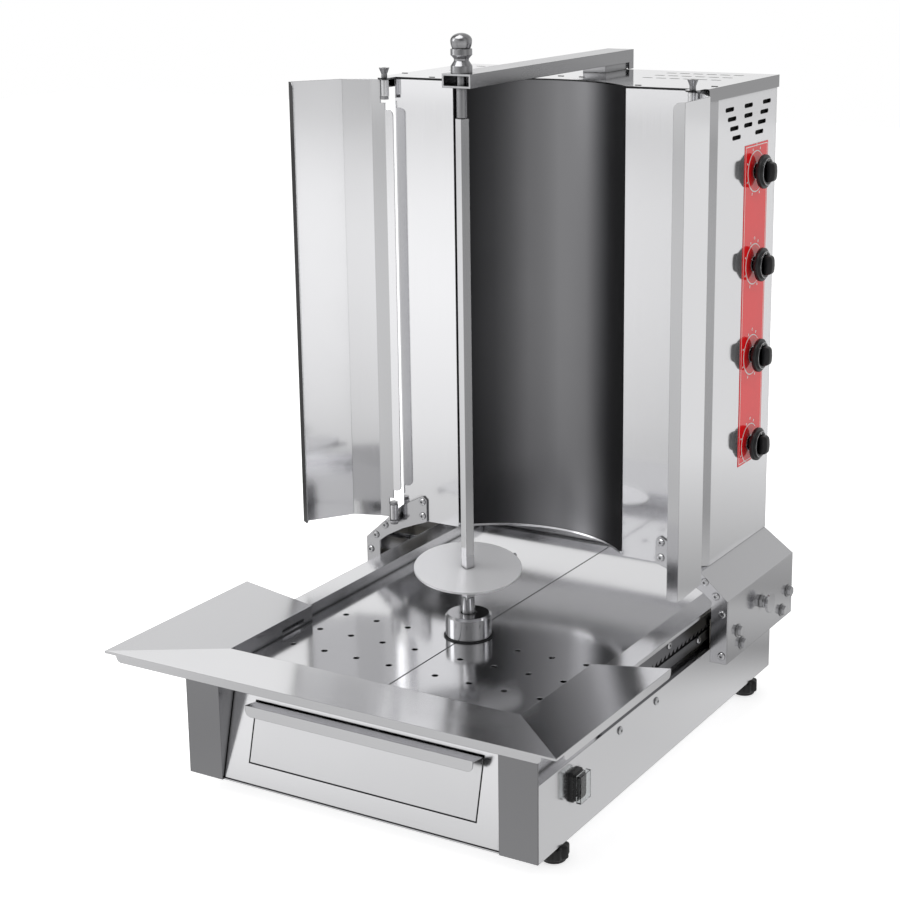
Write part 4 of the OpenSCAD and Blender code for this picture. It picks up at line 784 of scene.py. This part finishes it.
# %% Lobed feet
foot_profile = ((-22.0, 12.6, 0), (-21.8, 13.6, 0), (-20.8, 14.6, 0), (-18.2, 14.8, 0),
                (-17.6, 15.0, 0.4), (-16.8, 15.2, 2.6), (-15.6, 15.4, 3.4), (-5.0, 15.4, 3.4),
                (-3.6, 15.0, 3.2), (-2.4, 13.8, 2.2), (-1.6, 12.0, 0.4), (-0.1, 11.6, 0))
lobes = 8
lobe_sharpness = 0.7
foot_sides = 96
foot_places = ((238, -280), (-238, -255), (238, 280), (-238, 280))
for k, (x, y) in enumerate(foot_places, 1):
    rings = []
    for height, radius, lobe in foot_profile:
        ring = []
        for i in range(foot_sides):
            a = 2 * math.pi * i / foot_sides
            r = radius + lobe * (0.5 + 0.5 * math.cos(lobes * a)) ** lobe_sharpness
            ring.append(Vector((x + r * math.cos(a), y + r * math.sin(a), height)) * mm)
        rings.append(ring)
    foot = crease(skin(f"foot_{k}", rings, foot_nylon, "base"))
    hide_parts("feet")
print("feet:", len(foot_places), "with", lobes, "lobes each")

# %% [markdown]
# ## Floor, backdrop and light
# The machine stands on a pale floor in a white room. The camera sees both as white, and
# the light that falls on surfaces is plain and even. A mirror needs something to show,
# so mirrors and glass see greys instead: rings on the floor by distance, and a change
# by heading, given as a share of a full turn that starts at the left.

# %% What a mirror sees
ring_reach = 10
front_ring = ((0, 0.75), (0.06, 0.62), (0.09, 0.68), (0.14, 0.86), (0.2, 0.94), (0.28, 1.0),
              (0.42, 1.0), (0.52, 0.94), (0.8, 0.7), (1, 0.64))
rear_ring = ((0, 0.76), (0.04, 0.74), (0.054, 0.34), (0.064, 0.5), (0.074, 0.62), (0.082, 0.4),
             (0.1, 0.5), (0.126, 0.64), (0.16, 0.8), (1, 0.8))
sector = ((0, 0.94), (0.1, 1.0), (0.155, 1.0), (0.182, 0.84), (0.205, 0.76), (0.25, 0.9),
          (0.36, 0.9), (0.46, 1.0), (0.49, 0.8), (0.52, 0.46), (0.545, 0.42), (0.6, 0.95),
          (0.68, 1.0), (0.905, 1.0), (0.935, 0.2), (0.975, 0.2), (1, 0.94))
rear_share = ((0, 0), (0.54, 0), (0.62, 1), (0.9, 1), (1, 0))
near_share = ((0, 0), (0.07, 0), (0.12, 1))


def compass(tree, parts):
    """The heading of a place or direction, as a share of a full turn."""
    angle = add_node(tree, "ShaderNodeMath", {"operation": "ARCTAN2"},
                     {0: parts["Y"], 1: parts["X"]})
    return add_node(tree, "ShaderNodeMapRange", {"From Min": -math.pi, "From Max": math.pi},
                    {"Value": angle.outputs[0]}).outputs[0]


print("rings reach", ring_reach, "m")

# %% Floor
floor_size = 14
floor_lift = 0.62
floor_level = cad_bounds[0][2]


def studio_floor():
    """White floor that keeps a soft shadow, with the grey rings that mirrors see."""
    material, tree, shader, place = new_material("white_studio_floor")
    shader.inputs["Base Color"].default_value = linear("#F2F2F2")
    shader.inputs["Roughness"].default_value = 0.8
    out = next(node for node in tree.nodes if node.type == "OUTPUT_MATERIAL")
    path = add_node(tree, "ShaderNodeLightPath").outputs
    lift = add_node(tree, "ShaderNodeMath", {"operation": "MULTIPLY", 1: floor_lift},
                    {0: path["Is Camera Ray"]})
    glow = add_node(tree, "ShaderNodeEmission", links={"Strength": lift.outputs[0]})
    both = add_node(tree, "ShaderNodeAddShader",
                    links={0: shader.outputs[0], 1: glow.outputs[0]})
    parts = add_node(tree, "ShaderNodeSeparateXYZ", links={0: place}).outputs
    flat = add_node(tree, "ShaderNodeCombineXYZ", links={"X": parts["X"], "Y": parts["Y"]})
    away = add_node(tree, "ShaderNodeVectorMath", {"operation": "LENGTH"}, {0: flat.outputs[0]})
    reach = add_node(tree, "ShaderNodeMath", {"operation": "DIVIDE", 1: ring_reach},
                     {0: away.outputs["Value"]}).outputs[0]
    heading = compass(tree, parts)
    front, rear, behind, near, side = (
        add_node(tree, "ShaderNodeValToRGB", links={"Fac": source}, stops=stops).outputs[0]
        for source, stops in ((reach, front_ring), (reach, rear_ring), (heading, rear_share),
                              (reach, near_share), (heading, sector)))
    ring = add_node(tree, "ShaderNodeMixRGB", links={"Fac": behind, 1: front, 2: rear})
    level = add_node(tree, "ShaderNodeMixRGB", {"blend_type": "MULTIPLY"},
                     {"Fac": near, 1: ring.outputs[0], 2: side})
    mirrored = add_node(tree, "ShaderNodeEmission", links={"Color": level.outputs[0]})
    seen = add_node(tree, "ShaderNodeMath", {"operation": "MAXIMUM"},
                    {0: path["Is Glossy Ray"], 1: path["Is Transmission Ray"]})
    surface = add_node(tree, "ShaderNodeMixShader", links={
        0: seen.outputs[0], 1: both.outputs[0], 2: mirrored.outputs[0]})
    tree.links.new(surface.outputs[0], out.inputs["Surface"])
    return material


floor_mesh = bpy.data.meshes.new("floor")
half_floor = floor_size / 2
floor_mesh.from_pydata(
    [(-half_floor, -half_floor, floor_level), (half_floor, -half_floor, floor_level),
     (half_floor, half_floor, floor_level), (-half_floor, half_floor, floor_level)],
    [], [(0, 1, 2, 3)])
floor_mesh.materials.append(studio_floor())
floor = bpy.data.objects.new("floor", floor_mesh)
bpy.context.scene.collection.objects.link(floor)
print("floor at", round(floor_level / mm, 1), "mm")

# %% [markdown]
# ## The room
# Seen from above, sheets that lie flat mirror the room and upright ones the floor, so
# the room has greys of its own for each heading. It is darkest in front on the right,
# behind the camera, and on the left towards the rear, and a little darker high up.

# %% World
world = bpy.data.worlds.new("white_room")
bpy.context.scene.world = world
world.use_nodes = True
sky = world.node_tree
sky.nodes.clear()
sight = add_node(sky, "ShaderNodeTexCoord").outputs["Generated"]
way = add_node(sky, "ShaderNodeSeparateXYZ", links={0: sight}).outputs
sky_sector = ((0, 0.86), (0.1, 0.95), (0.17, 0.95), (0.22, 0.74), (0.3, 0.36), (0.37, 0.32),
              (0.46, 0.68), (0.5, 0.5), (0.54, 0.45), (0.62, 0.74), (0.72, 0.66), (0.8, 0.8),
              (0.845, 0.95), (0.9, 0.9), (0.935, 0.25), (0.975, 0.25), (1, 0.86))
sky_rise = ((0, 1.0), (0.36, 1.0), (0.52, 0.8), (1, 0.8))
headings = add_node(sky, "ShaderNodeValToRGB", links={"Fac": compass(sky, way)},
                    stops=sky_sector)
heights = add_node(sky, "ShaderNodeValToRGB", links={"Fac": way["Z"]}, stops=sky_rise)
behind = add_node(sky, "ShaderNodeMixRGB", {"blend_type": "MULTIPLY", "Fac": 1},
                  {1: headings.outputs[0], 2: heights.outputs[0]}).outputs[0]
path = add_node(sky, "ShaderNodeLightPath").outputs
mirrored = add_node(sky, "ShaderNodeMath", {"operation": "MAXIMUM"},
                    {0: path["Is Glossy Ray"], 1: path["Is Transmission Ray"]})
diffuse_level = 0.62
level = add_node(sky, "ShaderNodeMixRGB", {1: (diffuse_level,) * 3 + (1,)},
                 {"Fac": mirrored.outputs[0], 2: behind})
white = add_node(sky, "ShaderNodeMixRGB", {2: (1, 1, 1, 1)},
                 {"Fac": path["Is Camera Ray"], 1: level.outputs[0]})
room = add_node(sky, "ShaderNodeBackground", links={"Color": white.outputs[0]})
add_node(sky, "ShaderNodeOutputWorld", links={"Surface": room.outputs[0]})
print("room light on surfaces:", diffuse_level)

# %% [markdown]
# ## Lamps
# Two broad lamps stand for the soft boxes of a studio, one overhead and one on the left.

# %% Lamps
def soft_box(name, place, target, width, height, power):
    """Area lamp that faces a target."""
    light = bpy.data.lights.new(name, "AREA")
    light.shape = "RECTANGLE"
    light.size = width
    light.size_y = height
    light.energy = power
    lamp = bpy.data.objects.new(name, light)
    lamp.location = place
    lamp.rotation_euler = (Vector(target) - Vector(place)).to_track_quat("-Z", "Y").to_euler()
    bpy.context.scene.collection.objects.link(lamp)
    return lamp


middle = (Vector(cad_bounds[0]) + Vector(cad_bounds[1])) / 2
lamp_places = {"overhead_box": ((-0.3, -0.6, 2.6), 1.8, 1.8, 26),
               "left_box": ((-2.4, -1.4, 1.5), 1.2, 1.8, 14)}
for name, (place, width, height, power) in lamp_places.items():
    soft_box(name, place, middle, width, height, power)
